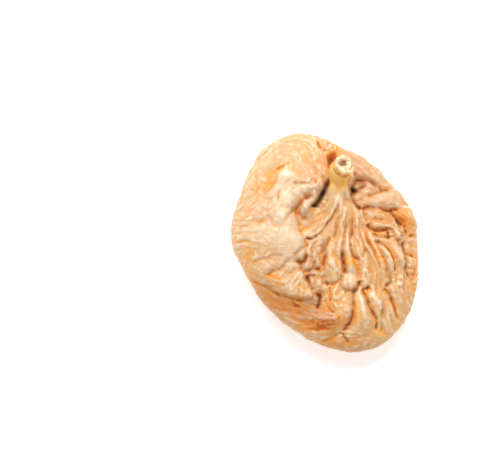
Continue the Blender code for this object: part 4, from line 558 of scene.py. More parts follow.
    (0.8, 0.8, 0, ((12.3, 7.5), (12.4, 8), (12.9, 8.3)), 0.2, 0.4),
    (1.5, 1.9, 0, ((14.7, 7.1), (15.1, 6.3), (15.6, 5.4), (16.1, 4.6), (16.9, 3.9), (17.6, 3.4)), 0.3, 0.5),
    (1.2, 1.3, 0, ((17.4, 3.6), (17.9, 3), (18.1, 2.2), (18.6, 1.3)), 0.3, 0.6),
    (0.9, 0.9, 0, ((16.5, 1.9), (17, 1.4), (17.5, 0.8)), 0.3, 0.5),
    (0.9, 0.9, 0, ((18.4, 1.3), (19.2, 1.3), (20.2, 1.6)), 0.3, 0.8),
    (0.8, 0.7, 0, ((16.1, 4.4), (16.2, 3.2), (16.5, 2)), 0.4, 0.4),
    (0.9, 0.6, 0, ((10.8, 5.5), (11.4, 4.8), (12.2, 4.6), (13, 4.8)), 0.6, 0.6),
    (0.9, 0.5, 0, ((13.2, 4.4), (14, 4.2), (15, 4.4)), 0.5, 0.5),
    (0.8, 0.5, 0, ((12.4, 3.3), (13, 3.9), (14.2, 3.9), (15, 3.4), (15.5, 2.4)), 0.5, 0.8),
    (1.3, 1.7, 0.15, ((9.3, 3.7), (10, 2.9), (11, 2.5), (12.2, 2.4), (13.2, 2.6), (13.9, 2.8)), 0.3, 0.3),
    (0.9, 0.9, 0, ((13.8, 2.8), (14.5, 2.3), (14.8, 1.6), (14.8, 0.7)), 0.2, 0.3),
    (1, 1.4, 0, ((14, 2.2), (13.8, 1.4), (13.7, 0.9), (14.4, 0.7)), 0.2, 0.3),
    (1.1, 1.2, -0.1, ((10.3, 1.7), (11.2, 1.4), (12.2, 1), (13.2, 0.8), (14.4, 0.6)), 0.5, 0.2),
    # the back rim
    (1.2, 1, 0, ((-1.8, 22.4), (-1.1, 21.2), (-0.4, 20.3), (0.6, 19.8), (1.6, 19.6)), 0.8, 0.6),
    (0.9, 0.6, 0, ((1, 22.8), (0.9, 21.4), (0.7, 20)), 1, 0.4),
    (0.9, 0.4, 0, ((3.4, 21.6), (3.2, 20.4), (2.6, 19.6)), 1, 0.6),
)

# Narrow cords that stand on pleats: half width, rise and line
CORDS = made(
    Roll,
    (0.75, 0.4, ((2.8, 10.4), (2.7, 8.6), (2.2, 7.2), (1.4, 5.5), (0.6, 4.3), (-0.2, 3.2))),
    (0.65, 0.45, ((4.4, 8), (4.3, 6.4), (4.1, 5), (3.7, 3.6), (3.8, 2.4), (3.6, 1), (3.4, -0.4),
     (3.1, -1.8), (3, -2.8), (3.3, -3.8), (3.5, -5.2), (3.6, -6.6))),
    (0.55, 0.25, ((3.4, 2.2), (3.1, 0.8), (2.6, -0.6), (2.5, -2), (2.7, -3.4))),
    (0.75, 0.4, ((4.6, 1.6), (4.8, 0.2), (4.7, -1.2), (5, -2.6), (5.3, -3.6))),
    (0.6, 0.3, ((5.3, 8.6), (5.4, 6.6), (5.3, 4.8), (5.2, 3.6))),
    (0.65, 0.35, ((6.2, 9.4), (6.6, 7.8), (6.9, 6.2), (6.9, 4.4), (7, 2.6))),
    (0.6, 0.35, ((7.4, 7), (8, 5.6), (8.3, 4.2), (8.6, 3))),
    (0.65, 0.4, ((8.1, 2.6), (8.4, 0.8), (8.8, -0.8), (9.4, -2), (10, -3), (10.7, -4), (11.3, -5),
     (11.7, -6.2))),
    (0.65, 0.35, ((11.6, -1), (12.6, -1.6), (13.4, -2.6), (14, -3.9), (14.5, -5.2))),
    (0.6, 0.35, ((12.5, 3.1), (13.6, 3.3), (14.6, 3), (15.3, 2.4), (15.8, 1.4))),
    (0.55, 0.4, ((15.1, 6), (15.5, 4.8), (15.8, 3.6), (16, 2.4), (16.4, 1.2), (16.8, 0.2), (17.2, -0.9))),
    (0.6, 0.3, ((14.9, -0.6), (15.8, -2.6), (16.6, -4.2), (17.3, -5.6), (17.5, -7))),
    (0.7, 0.3, ((10.4, -10.4), (10.6, -11.8), (11.2, -13), (12, -14.4))),
    (0.6, 0.25, ((7.9, -12), (8.2, -13.6), (8.4, -15.6), (8.8, -17.6))),
    (0.6, 0.25, ((9.4, -11.4), (10, -13.4), (10.6, -15.2), (11.4, -16.8), (11.9, -18.6))),
    (0.6, 0.3, ((-0.6, -15), (-0.5, -13.4), (-0.6, -12))),
    (0.6, 0.3, ((1.9, -13.4), (1.9, -11.8), (2, -10.4))),
    (0.6, 0.25, ((16.6, 7.6), (17.8, 7.6), (19, 7.7))),
    (0.6, 0.3, ((1.3, 14.6), (1.5, 12.8), (1.4, 11), (0.8, 9.4), (-0.2, 8.2), (-1.6, 7.2))),
    (0.6, 0.3, ((2.2, 14.2), (2.2, 12.2), (2, 10.4), (1.4, 8.6), (0.4, 7.2), (-0.8, 6.2))),
    (0.6, 0.3, ((3.3, 13.8), (3.5, 11.8), (3.5, 9.8), (3.6, 7.8), (3.5, 6), (3.3, 4.6))),
    (0.6, 0.3, ((4.4, 14), (4.5, 12), (4.6, 10.2), (5.2, 8.4))),
    (0.55, 0.3, ((5.2, 13.4), (5.2, 11.8), (5.6, 10.4), (6.6, 8.6), (7.4, 7.2))),
)

# Rounded lumps: middle, half widths, turn and rise
BULBS = made(
    Bulb,
    (1.7, -6.4, 2.1, 2.9, 4, 0.9), (0.7, -5, 0.9, 1.6, 0, 0.4), (5.35, -8.9, 2.2, 2.2, 8, 0.95),
    (5.5, -6, 1.4, 2.2, 12, 0.65), (8.9, -8.2, 1.2, 2.2, 6, 0.6), (-1.9, -9.4, 1.4, 1.8, 0, 0.8),
    (-3.7, -5.4, 1, 1, 0, 0.6), (-1.6, -5, 0.9, 0.8, 30, 0.4), (-1, -7.4, 1, 0.9, 0, 0.4),
    (-3.2, -2.2, 0.7, 1.4, 0, 0.4), (14.5, 1.5, 0.5, 0.7, 20, 0.5), (15.8, 1.4, 0.8, 1, 20, 0.6),
    (18.8, -4.7, 1, 1.6, 0, 0.8), (18.8, 0.4, 0.8, 0.7, 0, 0.4), (-4.3, 7.1, 1.2, 2.1, -18, 1.7),
    (-3.6, 5.6, 0.9, 1, 30, 0.5), (6, 13.4, 0.9, 2, -12, 0.8), (16.4, -9.3, 0.8, 0.7, 0, 0.35),
    (16.4, -8, 0.7, 0.6, 0, 0.3), (0, -10.4, 0.6, 0.9, 0, 0.3),
)


@dataclass
class Outline:
    """Outline of the fig seen from above, as radii every 15 degrees from +X, counter-clockwise."""

    radii: tuple = (20.4, 20.7, 20.1, 19.2, 19.6, 20.9, 23.0, 24.8, 24.6, 22.9, 21.3, 20.8,
                    20.3, 19.0, 18.5, 19.0, 19.6, 20.9, 22.9, 24.8, 25.8, 24.7, 23.1, 21.3)

    def radius(self, turn: Array) -> Array:
        """Radius of the outline at each turn, in radians."""
        r = np.array(self.radii)
        u = (turn / (2 * math.pi)) % 1.0 * len(r)
        i = np.floor(u).astype(int)
        a, b, c, d = (r[(i + k) % len(r)] for k in (-1, 0, 1, 2))
        return cubic(a, b, c, d, u - i)


@dataclass
class Pillow:
    """The flattened body before it folded: a rounded cushion on the outline."""

    outline: Outline = field(default_factory=Outline)
    rim_z: float = RIM_Z
    crown_z: float = CROWN_Z
    mean_radius: float = 21.6
    top_power: float = 4.0
    under_power: float = 3.6
    under_square: float = 0.78
    profile_points: int = 900
    row_step: float = 0.15
    ring_points: int = 1000
    past_rim: float = 0.9

    def rows(self) -> dict[str, Array]:
        """Work out the rows from the top's middle to the underside's.

        Returns:
            Share of the radius, share of the height, arc from the rim, and the normal's two parts.
        """
        a = np.linspace(0, math.pi / 2, self.profile_points)
        top = np.stack([np.sin(a) ** (2 / self.top_power), np.cos(a)], axis=1)
        under = np.stack([np.sin(a) ** (2 / self.under_power), -np.cos(a)], axis=1)[::-1]
        under[:, 1] = self.under_square * under[:, 1] - (1 - self.under_square) * (1 - under[:, 0] ** 2)
        rows = np.vstack([top, under[1:]])
        size = np.where(rows[:, 1] >= 0, self.crown_z - self.rim_z, self.rim_z)
        r, z = rows[:, 0] * self.mean_radius, rows[:, 1] * size
        arc = np.concatenate([[0.0], np.cumsum(np.hypot(np.diff(r), np.diff(z)))])
        even = np.linspace(0, arc[-1], int(arc[-1] / self.row_step) + 1)[1:-1]
        share, height, r, z = (np.interp(even, arc, v) for v in (rows[:, 0], rows[:, 1], r, z))
        slope_r, slope_z = np.gradient(r), np.gradient(z)
        size = np.hypot(slope_r, slope_z)
        return {"share": share, "height": height, "arc": even - arc[len(top) - 1],
                "out": -slope_z / size, "up": slope_r / size}


@dataclass
class TopForm:
    """The side seen from above: flesh, neck and big lobe, and the folds on them."""

    rim_z: float = RIM_Z
    crown_z: float = CROWN_Z
    lobe_z: float = 15.2
    lobe_edge_roll: float = 2.8
    lobe_reach: float = 30.0
    neck_reach: float = 9.0
    narrow_half: float = 3.6
    narrow_fade: float = 1.2
    deepest_share: float = 0.85
    total_share: float = 0.15
    highest_bank: float = 0.6
    shifts: tuple = ((0.28, 3.3, 1.5), (0.08, 1.2, 7.5))
    shift_apart: float = 20.0
    warp: Noise = field(default_factory=lambda: Noise(3))
    wander: Noise = field(default_factory=lambda: Noise(4))

    def warped(self, x: Array, y: Array) -> Pair:
        """Shift places a little, so that no fold runs perfectly smooth.

        Args:
            x: Places along X.
            y: Places along Y.

        Returns:
            The shifted places.
        """
        dx, dy = 0.0, 0.0
        for size, width, layer in self.shifts:
            dx = dx + size * self.warp(x / width, y / width, layer)
            dy = dy + size * self.warp(x / width, y / width, layer + self.shift_apart)
        return x + dx, y + dy

    def level(self, x: Array, y: Array) -> Array:
        """Height of flesh, neck and lobe over the rim's plane.

        Args:
            x: Places along X.
            y: Places along Y.

        Returns:
            The height at each place.
        """
        z = np.full(x.shape, self.crown_z - self.rim_z)
        for swell in SWELLS:
            z = z + swell.lift(x, y)
        neck = Line(NECK)
        pick, d, along, _ = neck.near(x, y, self.neck_reach)
        half = neck.value(along, 2)
        back = neck.value(along, 3) - self.rim_z
        u = np.clip(d / half, 0, 1)
        sharp = np.clip((self.narrow_half - half) / self.narrow_fade, 0, 1)
        share = sharp * np.sqrt(1 - u ** 4) + (1 - sharp) * smooth(1 - u)
        z[pick] = np.maximum(z[pick], z[pick] + (back - z[pick]) * share)
        top = np.full(x.shape, self.lobe_z - self.rim_z)
        for swell in LOBE_SWELLS:
            top = top + swell.lift(x, y)
        edge = Line(LOBE_EDGE)
        pick, d, _, _ = edge.near(x, y, self.lobe_reach)
        far = np.full(x.shape, self.lobe_reach)
        far[pick] = d
        within = inside(x, y, np.vstack([edge.rows, LOBE_BACK]))
        rise = np.clip(top - z, 0.0, None)
        return np.where(within, z + rise * rounded(far / self.lobe_edge_roll), z)

    def relief(self, x: Array, y: Array) -> Pair:
        """Folds along the surface's normal.

        Args:
            x: Places along X, unrolled past the rim.
            y: Places along Y, unrolled past the rim.

        Returns:
            The shift at each place, and the part of it that creases cut.
        """
        lifts = [item.lift(x, y) for item in ROLLS]
        roll = np.maximum.reduce(lifts).clip(0) + np.minimum.reduce(lifts).clip(None, 0)
        bulb = np.maximum.reduce([item.lift(x, y) for item in BULBS])
        cord = np.maximum.reduce([item.lift(x, y) for item in CORDS])
        deepest, total, banks = np.zeros((3, *x.shape))
        for item in CREASES:
            cut, lift = item.cut(x, y, self.wander)
            deepest = np.maximum(deepest, cut)
            total += cut
            banks += lift
        cut = self.deepest_share * deepest + self.total_share * np.minimum(total, 2 * deepest)
        banks = np.clip(banks, -self.highest_bank, self.highest_bank)
        return roll + bulb + cord + banks - cut, cut


def drawn(rng: np.random.Generator, least: float, more: float, power: float = 1.0) -> float:
    """Draw a number from least to least + more, often near the high end where power is under 1."""
    return least + more * rng.random() ** power


def either_way(rng: np.random.Generator, spread: float) -> float:
    """Draw a number on either side of 0, where spread is the whole range."""
    return spread * (rng.random() - 0.5)


def ray(start: tuple, turn: float, reach: tuple, bend: float, shares: tuple) -> tuple:
    """Points along a bending line.

    Args:
        start: Place that the line leaves.
        turn: Direction it leaves in, in radians.
        reach: Distances of its first and last point.
        bend: How far it has turned at its end.
        shares: Share of the way at each point.

    Returns:
        One point for each share.
    """
    first, last = reach
    points = []
    for share in shares:
        far = first + share * (last - first)
        a = turn + bend * share
        points.append((start[0] + far * math.cos(a), start[1] + far * math.sin(a)))
    return tuple(points)


@dataclass
class UnderForm:
    """The side that lies down: the eye, the puckers that run from it, and short folds."""

    outline: Outline = field(default_factory=Outline)
    seed: int = 11
    eye: tuple = (-2.0, -11.0)
    eye_radius: float = 1.6
    eye_depth: float = 1.8
    lip_radius: float = 2.3
    lip_width: float = 0.9
    lip_rise: float = 0.6
    pucker_start: float = 1.1
    farthest: float = 45.0
    past_rim: float = 1.5
    calm_radius: float = 6.0
    sway_width: float = 6.0
    sway_shift: float = 1.1
    wave_width: float = 8.0
    wave_rise: float = 0.7
    flat_radius: float = 5.0
    flat_fade: float = 6.0
    puckers: int = 19
    short_folds: int = 46
    fold_points: int = 6
    way_steps: int = 400

    def __post_init__(self) -> None:
        """Lay out the folds."""
        rng = np.random.default_rng(self.seed)
        self.wander = Noise(12)
        self.sway = Noise(13)
        self.creases = []
        shares = tuple(np.linspace(0.0, 1.0, self.fold_points))
        for k in range(self.puckers):
            turn = 2 * math.pi * drawn(rng, k, 0.6) / self.puckers
            last = drawn(rng, 0.35, 0.75, power=0.7) * self.way_out(turn)
            points = ray(self.eye, turn, (self.pucker_start, last), either_way(rng, 0.5), shares)
            half = drawn(rng, 1.3, 1.2)
            self.creases.append(Crease(half, drawn(rng, 0.6, 0.7), 0.0, points, head=0.6, tail=5.0))
        for _ in range(self.short_folds):
            away = drawn(rng, 5.0, 16.0, power=0.6)
            turn = 2 * math.pi * rng.random()
            start = (away * math.cos(turn), away * math.sin(turn))
            from_eye = math.atan2(start[1] - self.eye[1], start[0] - self.eye[0])
            heading = from_eye + either_way(rng, 1.3)
            reach = (0.0, drawn(rng, 3.0, 5.0))
            points = ray(start, heading, reach, either_way(rng, 0.6), shares)
            half = drawn(rng, 1.2, 1.2)
            self.creases.append(Crease(half, drawn(rng, 0.35, 0.55), 0.0, points, head=2.0, tail=2.0))

    def way_out(self, turn: float) -> float:
        """Distance from the eye to a little past the rim."""
        reach = np.linspace(1.0, self.farthest, self.way_steps)
        x = self.eye[0] + reach * math.cos(turn)
        y = self.eye[1] + reach * math.sin(turn)
        out = np.hypot(x, y) > self.outline.radius(np.arctan2(y, x)) + self.past_rim
        return float(reach[np.argmax(out)])

    def relief(self, x: Array, y: Array) -> Pair:
        """Folds along the surface's normal.

        Args:
            x: Places along X, unrolled past the rim.
            y: Places along Y, unrolled past the rim.

        Returns:
            The shift at each place, and the part of it that creases and the eye cut.
        """
        d = np.hypot(x - self.eye[0], y - self.eye[1])
        lip = self.lip_rise * np.exp(-(((d - self.lip_radius) / self.lip_width) ** 2))
        pit = self.eye_depth * smooth(1 - d / self.eye_radius)
        calm = smooth(d / self.calm_radius)
        u, v = x / self.sway_width, y / self.sway_width
        sx = x + calm * self.sway_shift * self.sway(u, v, 2.5)
        sy = y + calm * self.sway_shift * self.sway(u, v, 9.5)
        cut = np.zeros(x.shape)
        for item in self.creases:
            cut = np.maximum(cut, item.cut(sx, sy, self.wander)[0])
        wave = self.wave_rise * self.sway(x / self.wave_width, y / self.wave_width, 15.5)
        wave = wave * above(np.hypot(x, y), self.flat_radius, self.flat_fade)
        return lip + wave - pit - cut, cut + pit


@dataclass
class RimFolds:
    """Short folds that run down over the rim."""

    outline: Outline = field(default_factory=Outline)
    seed: int = 21
    count: int = 36
    shares: tuple = (0.0, 0.35, 0.7, 1.0)

    def creases(self) -> list[Crease]:
        """Lay out the folds in unrolled places, where the radius goes on past the rim."""
        rng = np.random.default_rng(self.seed)
        folds = []
        for k in range(self.count):
            turn = 2 * math.pi * drawn(rng, k, 0.6) / self.count
            rim = float(self.outline.radius(np.array(turn)))
            reach = (drawn(rng, rim + 0.3, 0.8), drawn(rng, rim + 4.5, 3.5))
            points = ray((0.0, 0.0), turn, reach, either_way(rng, 0.10), self.shares)
            half = drawn(rng, 1.1, 0.7)
            folds.append(Crease(half, drawn(rng, 0.3, 0.4), 0.0, points, head=2.2, tail=2.6))
        return folds

    def cut(self, x: Array, y: Array, wander: Noise) -> Array:
        """Depth that the folds cut at each unrolled place."""
        return np.maximum.reduce([item.cut(x, y, wander)[0] for item in self.creases()])


@dataclass(frozen=True)
class Lay:
    """Direction in which the skin's fine wrinkles run round one place, and how strong they are there."""

    x: float
    y: float
    degrees: float
    strength: float
    reach: float = 4.0
    crumple: float = 0.3


@dataclass
class Grain:
    """Fine wrinkles that follow the lay of the skin, worked out on a flat sheet."""

    lays: tuple
    seed: int
    half_side: float = 31.0
    cell: float = 0.11
    fine: tuple = (0.04, 0.5, 2.0)
    puffs: tuple = ((0.11, 1.9, 6.0), (0.11, 0.9, 4.0), (0.18, 2.6, 0.0), (0.12, 1.3, 0.0))
    puff_mean: float = 0.8
    puff_softness: float = 0.05
    pitch_spread: float = 0.18
    far_share: float = 0.002
    stray_turn: float = 0.25
    stray_width: float = 3.5

    def __post_init__(self) -> None:
        """Work out the sheet's directions and its wrinkles."""
        self.count = int(2 * self.half_side / self.cell)
        line = (np.arange(self.count) + 0.5) * self.cell - self.half_side
        self.gx, self.gy = np.meshgrid(line, line)
        self.cos, self.sin, power, crumple = self.directions()
        rise, width, run = self.fine
        self.sheet = rise * self.wrinkles(0, width, run) * power
        for order, (rise, width, run) in enumerate(self.puffs):
            waves = self.wrinkles(order + 1, width, run)
            puff = np.sqrt(waves ** 2 + self.puff_softness) - self.puff_mean
            self.sheet += rise * puff * (power if run > 0 else crumple)

    def directions(self) -> tuple[Array, ...]:
        """Blend the lays into one field of unit directions and two fields of strength."""
        c, s, power, crumple = np.zeros((4, *self.gx.shape))
        weight = np.full(self.gx.shape, 1e-6)
        for lay in self.lays:
            dx2, dy2 = (self.gx - lay.x) ** 2, (self.gy - lay.y) ** 2
            near = np.exp(-(dx2 + dy2) / lay.reach ** 2)
            near += self.far_share / (1 + dx2 + dy2)
            c += near * math.cos(2 * math.radians(lay.degrees))
            s += near * math.sin(2 * math.radians(lay.degrees))
            power += near * lay.strength
            crumple += near * lay.crumple
            weight += near
        stray = Noise(self.seed)(self.gx / self.stray_width, self.gy / self.stray_width)
        turn = 0.5 * np.arctan2(s, c) + self.stray_turn * stray
        return np.cos(turn), np.sin(turn), power / weight, crumple / weight

    def wrinkles(self, order: int, width: float, run: float) -> Array:
        """Draw one set of wrinkles.

        Args:
            order: Number of the set.
            width: Spacing of the wrinkles.
            run: How far one runs, or 0 for wrinkles that run every way.

        Returns:
            The sheet, with a mean of 0 and a spread of 1.
        """
        rng = np.random.default_rng((self.seed, order))
        waves = np.fft.rfft2(rng.normal(size=self.gx.shape))
        fy = np.fft.fftfreq(self.count, self.cell)[:, None]
        fx = np.fft.rfftfreq(self.count, self.cell)[None, :]
        pitch = np.hypot(fx, fy) * width
        waves *= np.exp(-((pitch - 1.0) ** 2) / self.pitch_spread)
        grain = np.fft.irfft2(waves, s=self.gx.shape)
        total = grain.copy()
        steps = int(run / (2 * self.cell))
        for way in (-1.0, 1.0):
            x, y = self.gx.copy(), self.gy.copy()
            hx, hy = way * self.cos, way * self.sin
            for k in range(steps):
                x += self.cell * hx
                y += self.cell * hy
                row, column = self.cells(x, y)
                total += (1 - k / steps) * grain[row, column]
                nx, ny = self.cos[row, column], self.sin[row, column]
                flip = np.where(nx * hx + ny * hy < 0, -1.0, 1.0)
                hx, hy = nx * flip, ny * flip
        return (total - total.mean()) / total.std()

    def cells(self, x: Array, y: Array) -> Pair:
        """Row and column of the sheet at each place."""
        column = np.clip(((x + self.half_side) / self.cell).astype(int), 0, self.count - 1)
        row = np.clip(((y + self.half_side) / self.cell).astype(int), 0, self.count - 1)
        return row, column

    def lay(self, x: Array, y: Array) -> Pair:
        """Cosine and sine of twice the wrinkles' direction at each place."""
        row, column = self.cells(x, y)
        c, s = self.cos[row, column], self.sin[row, column]
        return c * c - s * s, 2 * c * s

    def relief(self, x: Array, y: Array) -> Array:
        """Read the sheet between its cells.

        Args:
            x: Places along X.
            y: Places along Y.

        Returns:
            The rise of the wrinkles at each place.
        """
        u, v = (np.clip((w + self.half_side) / self.cell - 0.5, 0, self.count - 1.001) for w in (x, y))
        i, j = u.astype(int), v.astype(int)
        fu, fv = u - i, v - j
        low = self.sheet[j, i] * (1 - fu) + self.sheet[j, i + 1] * fu
        high = self.sheet[j + 1, i] * (1 - fu) + self.sheet[j + 1, i + 1] * fu
        return low * (1 - fv) + high * fv


@dataclass
class Stem:
    """The short cut stem that rises from the neck."""

    line: tuple = ((2.7, 10.8, 11.5, 1.8), (2.85, 12.7, 13.6, 2.05), (2.95, 13.9, 15.2, 2.15),
                   (3.15, 14.8, 16.4, 2.15), (3.5, 15.4, 17.2, 2.05), (3.85, 15.75, 17.9, 1.9),
                   (4.0, 15.9, 18.5, 2.0))
    line_step: float = 0.12
    face: tuple = ((1.06, 0.12), (1.06, 0.42), (0.99, 0.66), (0.86, 0.72), (0.66, 0.62), (0.4, 0.5),
                   (0.05, 0.42))
    form_seed: int = 51
    look_seed: int = 52
    long_way: float = 128.0
    flat: float = 0.1
    sides: int = 140
    ribs: tuple = ((0.055, 2.2, 0.0, 0.03), (0.035, 6.5, 5.0, 0.05))
    face_rows: int = 18
    face_lumps: tuple = ((0.16, 0.9, 9.0), (0.07, 2.8, 3.0))
    pith: tuple = (-0.42, 0.34)
    pith_half: tuple = (1.0, 0.75)
    pith_depth: float = 0.6
    pith_spread: float = 0.5
    crack: tuple = ((1.5, 0.7), (1.7, 0.1), (1.5, -0.7), (1.0, -1.0))
    crack_width: float = 0.22
    crack_depth: float = 0.4
    crack_stain: float = 0.16
    crack_end: tuple = (1.05, 0.2)
    face_reach: float = 3.4
    pit_reach: float = 1.7
    bark_middle: tuple = ((9.0, 12.7, 14.8, 16.0), (2.6, 2.85, 3.15, 4.0))
    bark_half: float = 3.1
    bark_start: float = 7.8
    # Place and width of the painted shadow band under the cut face.
    face_shadow_drop: float = 0.9
    face_shadow_width: float = 0.28
    far: float = 99.0

    def axes(self) -> tuple[Array, ...]:
        """Centres, radii, and the three directions along and across the stem."""
        path = Line(self.line, step=self.line_step).rows
        centre, size = path[:, :3], path[:, 3]
        way = np.gradient(centre, axis=0)
        way = way / np.linalg.norm(way, axis=1, keepdims=True)
        right = np.array([1.0, 0.0, 0.0]) - way * way[:, :1]
        right = right / np.linalg.norm(right, axis=1, keepdims=True)
        return centre, size, way, right, np.cross(way, right)

    def rings(self) -> Array:
        """Rings of points from the root inside the neck to the cut face."""
        centre, size, way, right, back = self.axes()
        turn = np.linspace(0, 2 * math.pi, self.sides, endpoint=False)
        cos, sin = np.cos(turn), np.sin(turn)
        rough = Noise(self.form_seed)
        oval = 1 + self.flat * np.cos(2 * (turn - math.radians(self.long_way)))
        rings = []
        for k, (middle, half) in enumerate(zip(centre, size)):
            girth = oval.copy()
            for rise, pitch, layer, step in self.ribs:
                girth += rise * rough(pitch * cos, pitch * sin, layer + step * k)
            ring = np.outer(girth * cos, right[k]) + np.outer(girth * sin, back[k])
            rings.append(middle + half * ring)
        profile = np.array(self.face)
        steps = np.linspace(0, len(profile) - 1, self.face_rows)
        for share, rise in zip(*(np.interp(steps, range(len(profile)), profile[:, c]) for c in (0, 1))):
            across = size[-1] * share * girth * cos
            along = size[-1] * share * girth * sin
            up = rise
            for lump, pitch, layer in self.face_lumps:
                up = up + lump * rough(pitch * across, pitch * along, layer)
            _, near, _, _ = Line(self.crack).near(across, along, self.far)
            crack = np.exp(-((near / self.crack_width) ** 2)) * below(share, *self.crack_end)
            up -= self.crack_depth * crack
            off_pith = (across - self.pith[0]) ** 2 + (along - self.pith[1]) ** 2
            up -= self.pith_depth * np.exp(-off_pith / self.pith_spread)
            ring = centre[-1] + np.outer(up, way[-1])
            rings.append(ring + np.outer(across, right[-1]) + np.outer(along, back[-1]))
        return np.array(rings)

    def traits(self, place: Array) -> dict[str, Array]:
        """Tell the cut face, its pith, the bark and a painted shadow band under the face from the rest of the
        skin.

        Args:
            place: Points in millimetres.

        Returns:
            The share of each at each point.
        """
        centre, _, way, right, back = self.axes()
        off = place - centre[-1]
        rise, across, along = off @ way[-1], off @ right[-1], off @ back[-1]
        out = np.hypot(across, along)
        rough = Noise(self.look_seed)
        near = below(out, self.face_reach, 0.4)
        pit = below(out, self.pit_reach, 0.3) * above(rise, -1.4, 0.3)
        face = np.maximum(above(rise, 0.15, 0.35), pit) * near
        return {"cut_face": face, "pith": face * self.stained(rough, across, along),
                "bark": self.barked(rough, place, rise, np.arctan2(along, across)),
                "collar_shadow": self.face_overhang_shadow(rough, rise, across, along) * near * above(place[:, 2], 15.0, 1.0)}

    def stained(self, rough: Noise, across: Array, along: Array) -> Array:
        """How dark the cut face is: its pith, its crack and stains.

        Args:
            rough: Noise that makes the edges uneven.
            across: Places across the face.
            along: Places up the face.

        Returns:
            The darkness at each place.
        """
        edge = 1 + 0.6 * rough(1.6 * across, 1.6 * along)
        (pith_x, pith_y), (half_x, half_y) = self.pith, self.pith_half
        pith = np.hypot((across - pith_x) / half_x, (along - pith_y) / half_y) * edge
        _, crack, _, _ = Line(self.crack).near(across, along, self.far)
        uneven = 0.95 + 0.4 * rough(1.1 * across, 1.1 * along, 11.0)
        line = 0.9 * np.exp(-((crack / self.crack_stain) ** 2))
        stain = 0.4 * smooth(1.6 * rough(1.4 * across, 1.4 * along, 4.0) + 0.3)
        return np.maximum(np.maximum(below(pith, 1.25, 0.5) * uneven, line), stain)

    def barked(self, rough: Noise, place: Array, rise: Array, turn: Array) -> Array:
        """Share of the yellow bark, in stripes that run up the neck to the cut face.

        Args:
            rough: Noise that makes the stripes uneven.
            place: Points in millimetres.
            rise: Their heights over the cut face.
            turn: Their directions round the stem, in radians.

        Returns:
            The share at each point.
        """
        stripe = 0.80 + 0.6 * rough(4.0 * np.cos(turn), 4.0 * np.sin(turn), 0.12 * rise)
        x, y, z = place.T
        beside = np.abs(x - np.interp(y, *self.bark_middle))
        reach = y + 1.6 * rough(2.2 * x, 0.3 * y, 15.0)
        bark = above(reach, self.bark_start, 5.2) * below(beside, self.bark_half, 0.6) * below(rise, 0.5, 0.4)
        return bark * above(z, 14.0, 1.4) * np.clip(stripe, 0.0, 1.0)

    def face_overhang_shadow(self, rough: Noise, rise: Array, across: Array, along: Array) -> Array:
        """Share of the painted shadow in a ragged band just under the cut face, where the face overhangs the
        stem.
        """
        edge = rise + 0.45 * rough(1.4 * across, 1.4 * along, 7.0)
        return np.exp(-(((edge + self.face_shadow_drop) / self.face_shadow_width) ** 2))


def shell(name: str, rings: Array) -> bpy.types.Object:
    """Make a closed mesh of rings that are joined row by row.

    Args:
        name: Name of the new object.
        rings: Points as rows, rings and coordinates, in millimetres.

    Returns:
        The new object, with its mesh in metres.
    """
    rows, count = rings.shape[:2]
    points = np.vstack([rings.reshape(-1, 3), rings[0].mean(0), rings[-1].mean(0)]) * MM
    row = np.arange(rows - 1)[:, None] * count
    here = np.arange(count)[None, :]
    there = (here + 1) % count
    quads = np.stack([row + here, row + there, row + count + there, row + count + here], axis=2)
    ends = [(rows * count, (k + 1) % count, k) for k in range(count)]
    last = (rows - 1) * count
    ends += [(rows * count + 1, last + k, last + (k + 1) % count) for k in range(count)]
    mesh = bpy.data.meshes.new(name)
    mesh.from_pydata(points.tolist(), [], quads.reshape(-1, 4).tolist() + ends)
    item = bpy.data.objects.new(name, mesh)
    bpy.context.scene.collection.objects.link(item)
    return item


class Tint(Enum):
    """Colours that the skin takes in patches, some of them painted shade, painted shadow or painted glints.
    """

    # Amber and honey patches; some in hollows also stand for orange shade there.
    AMBER = "amber"
    PALE = "pale"
    # Pinkish tint, and painted shade under the lobe, along the rims and in hollows, multiplied in.
    ROSE_AND_SHADE = "rose_and_shade"
    # Near-black painted shadow in the gap under the lobe and in deep pits.
    DARK = "dark"
    # Whitish crystal dusting, and painted glints along fold edges and ridges.
    BLOOM = "bloom_and_glint"


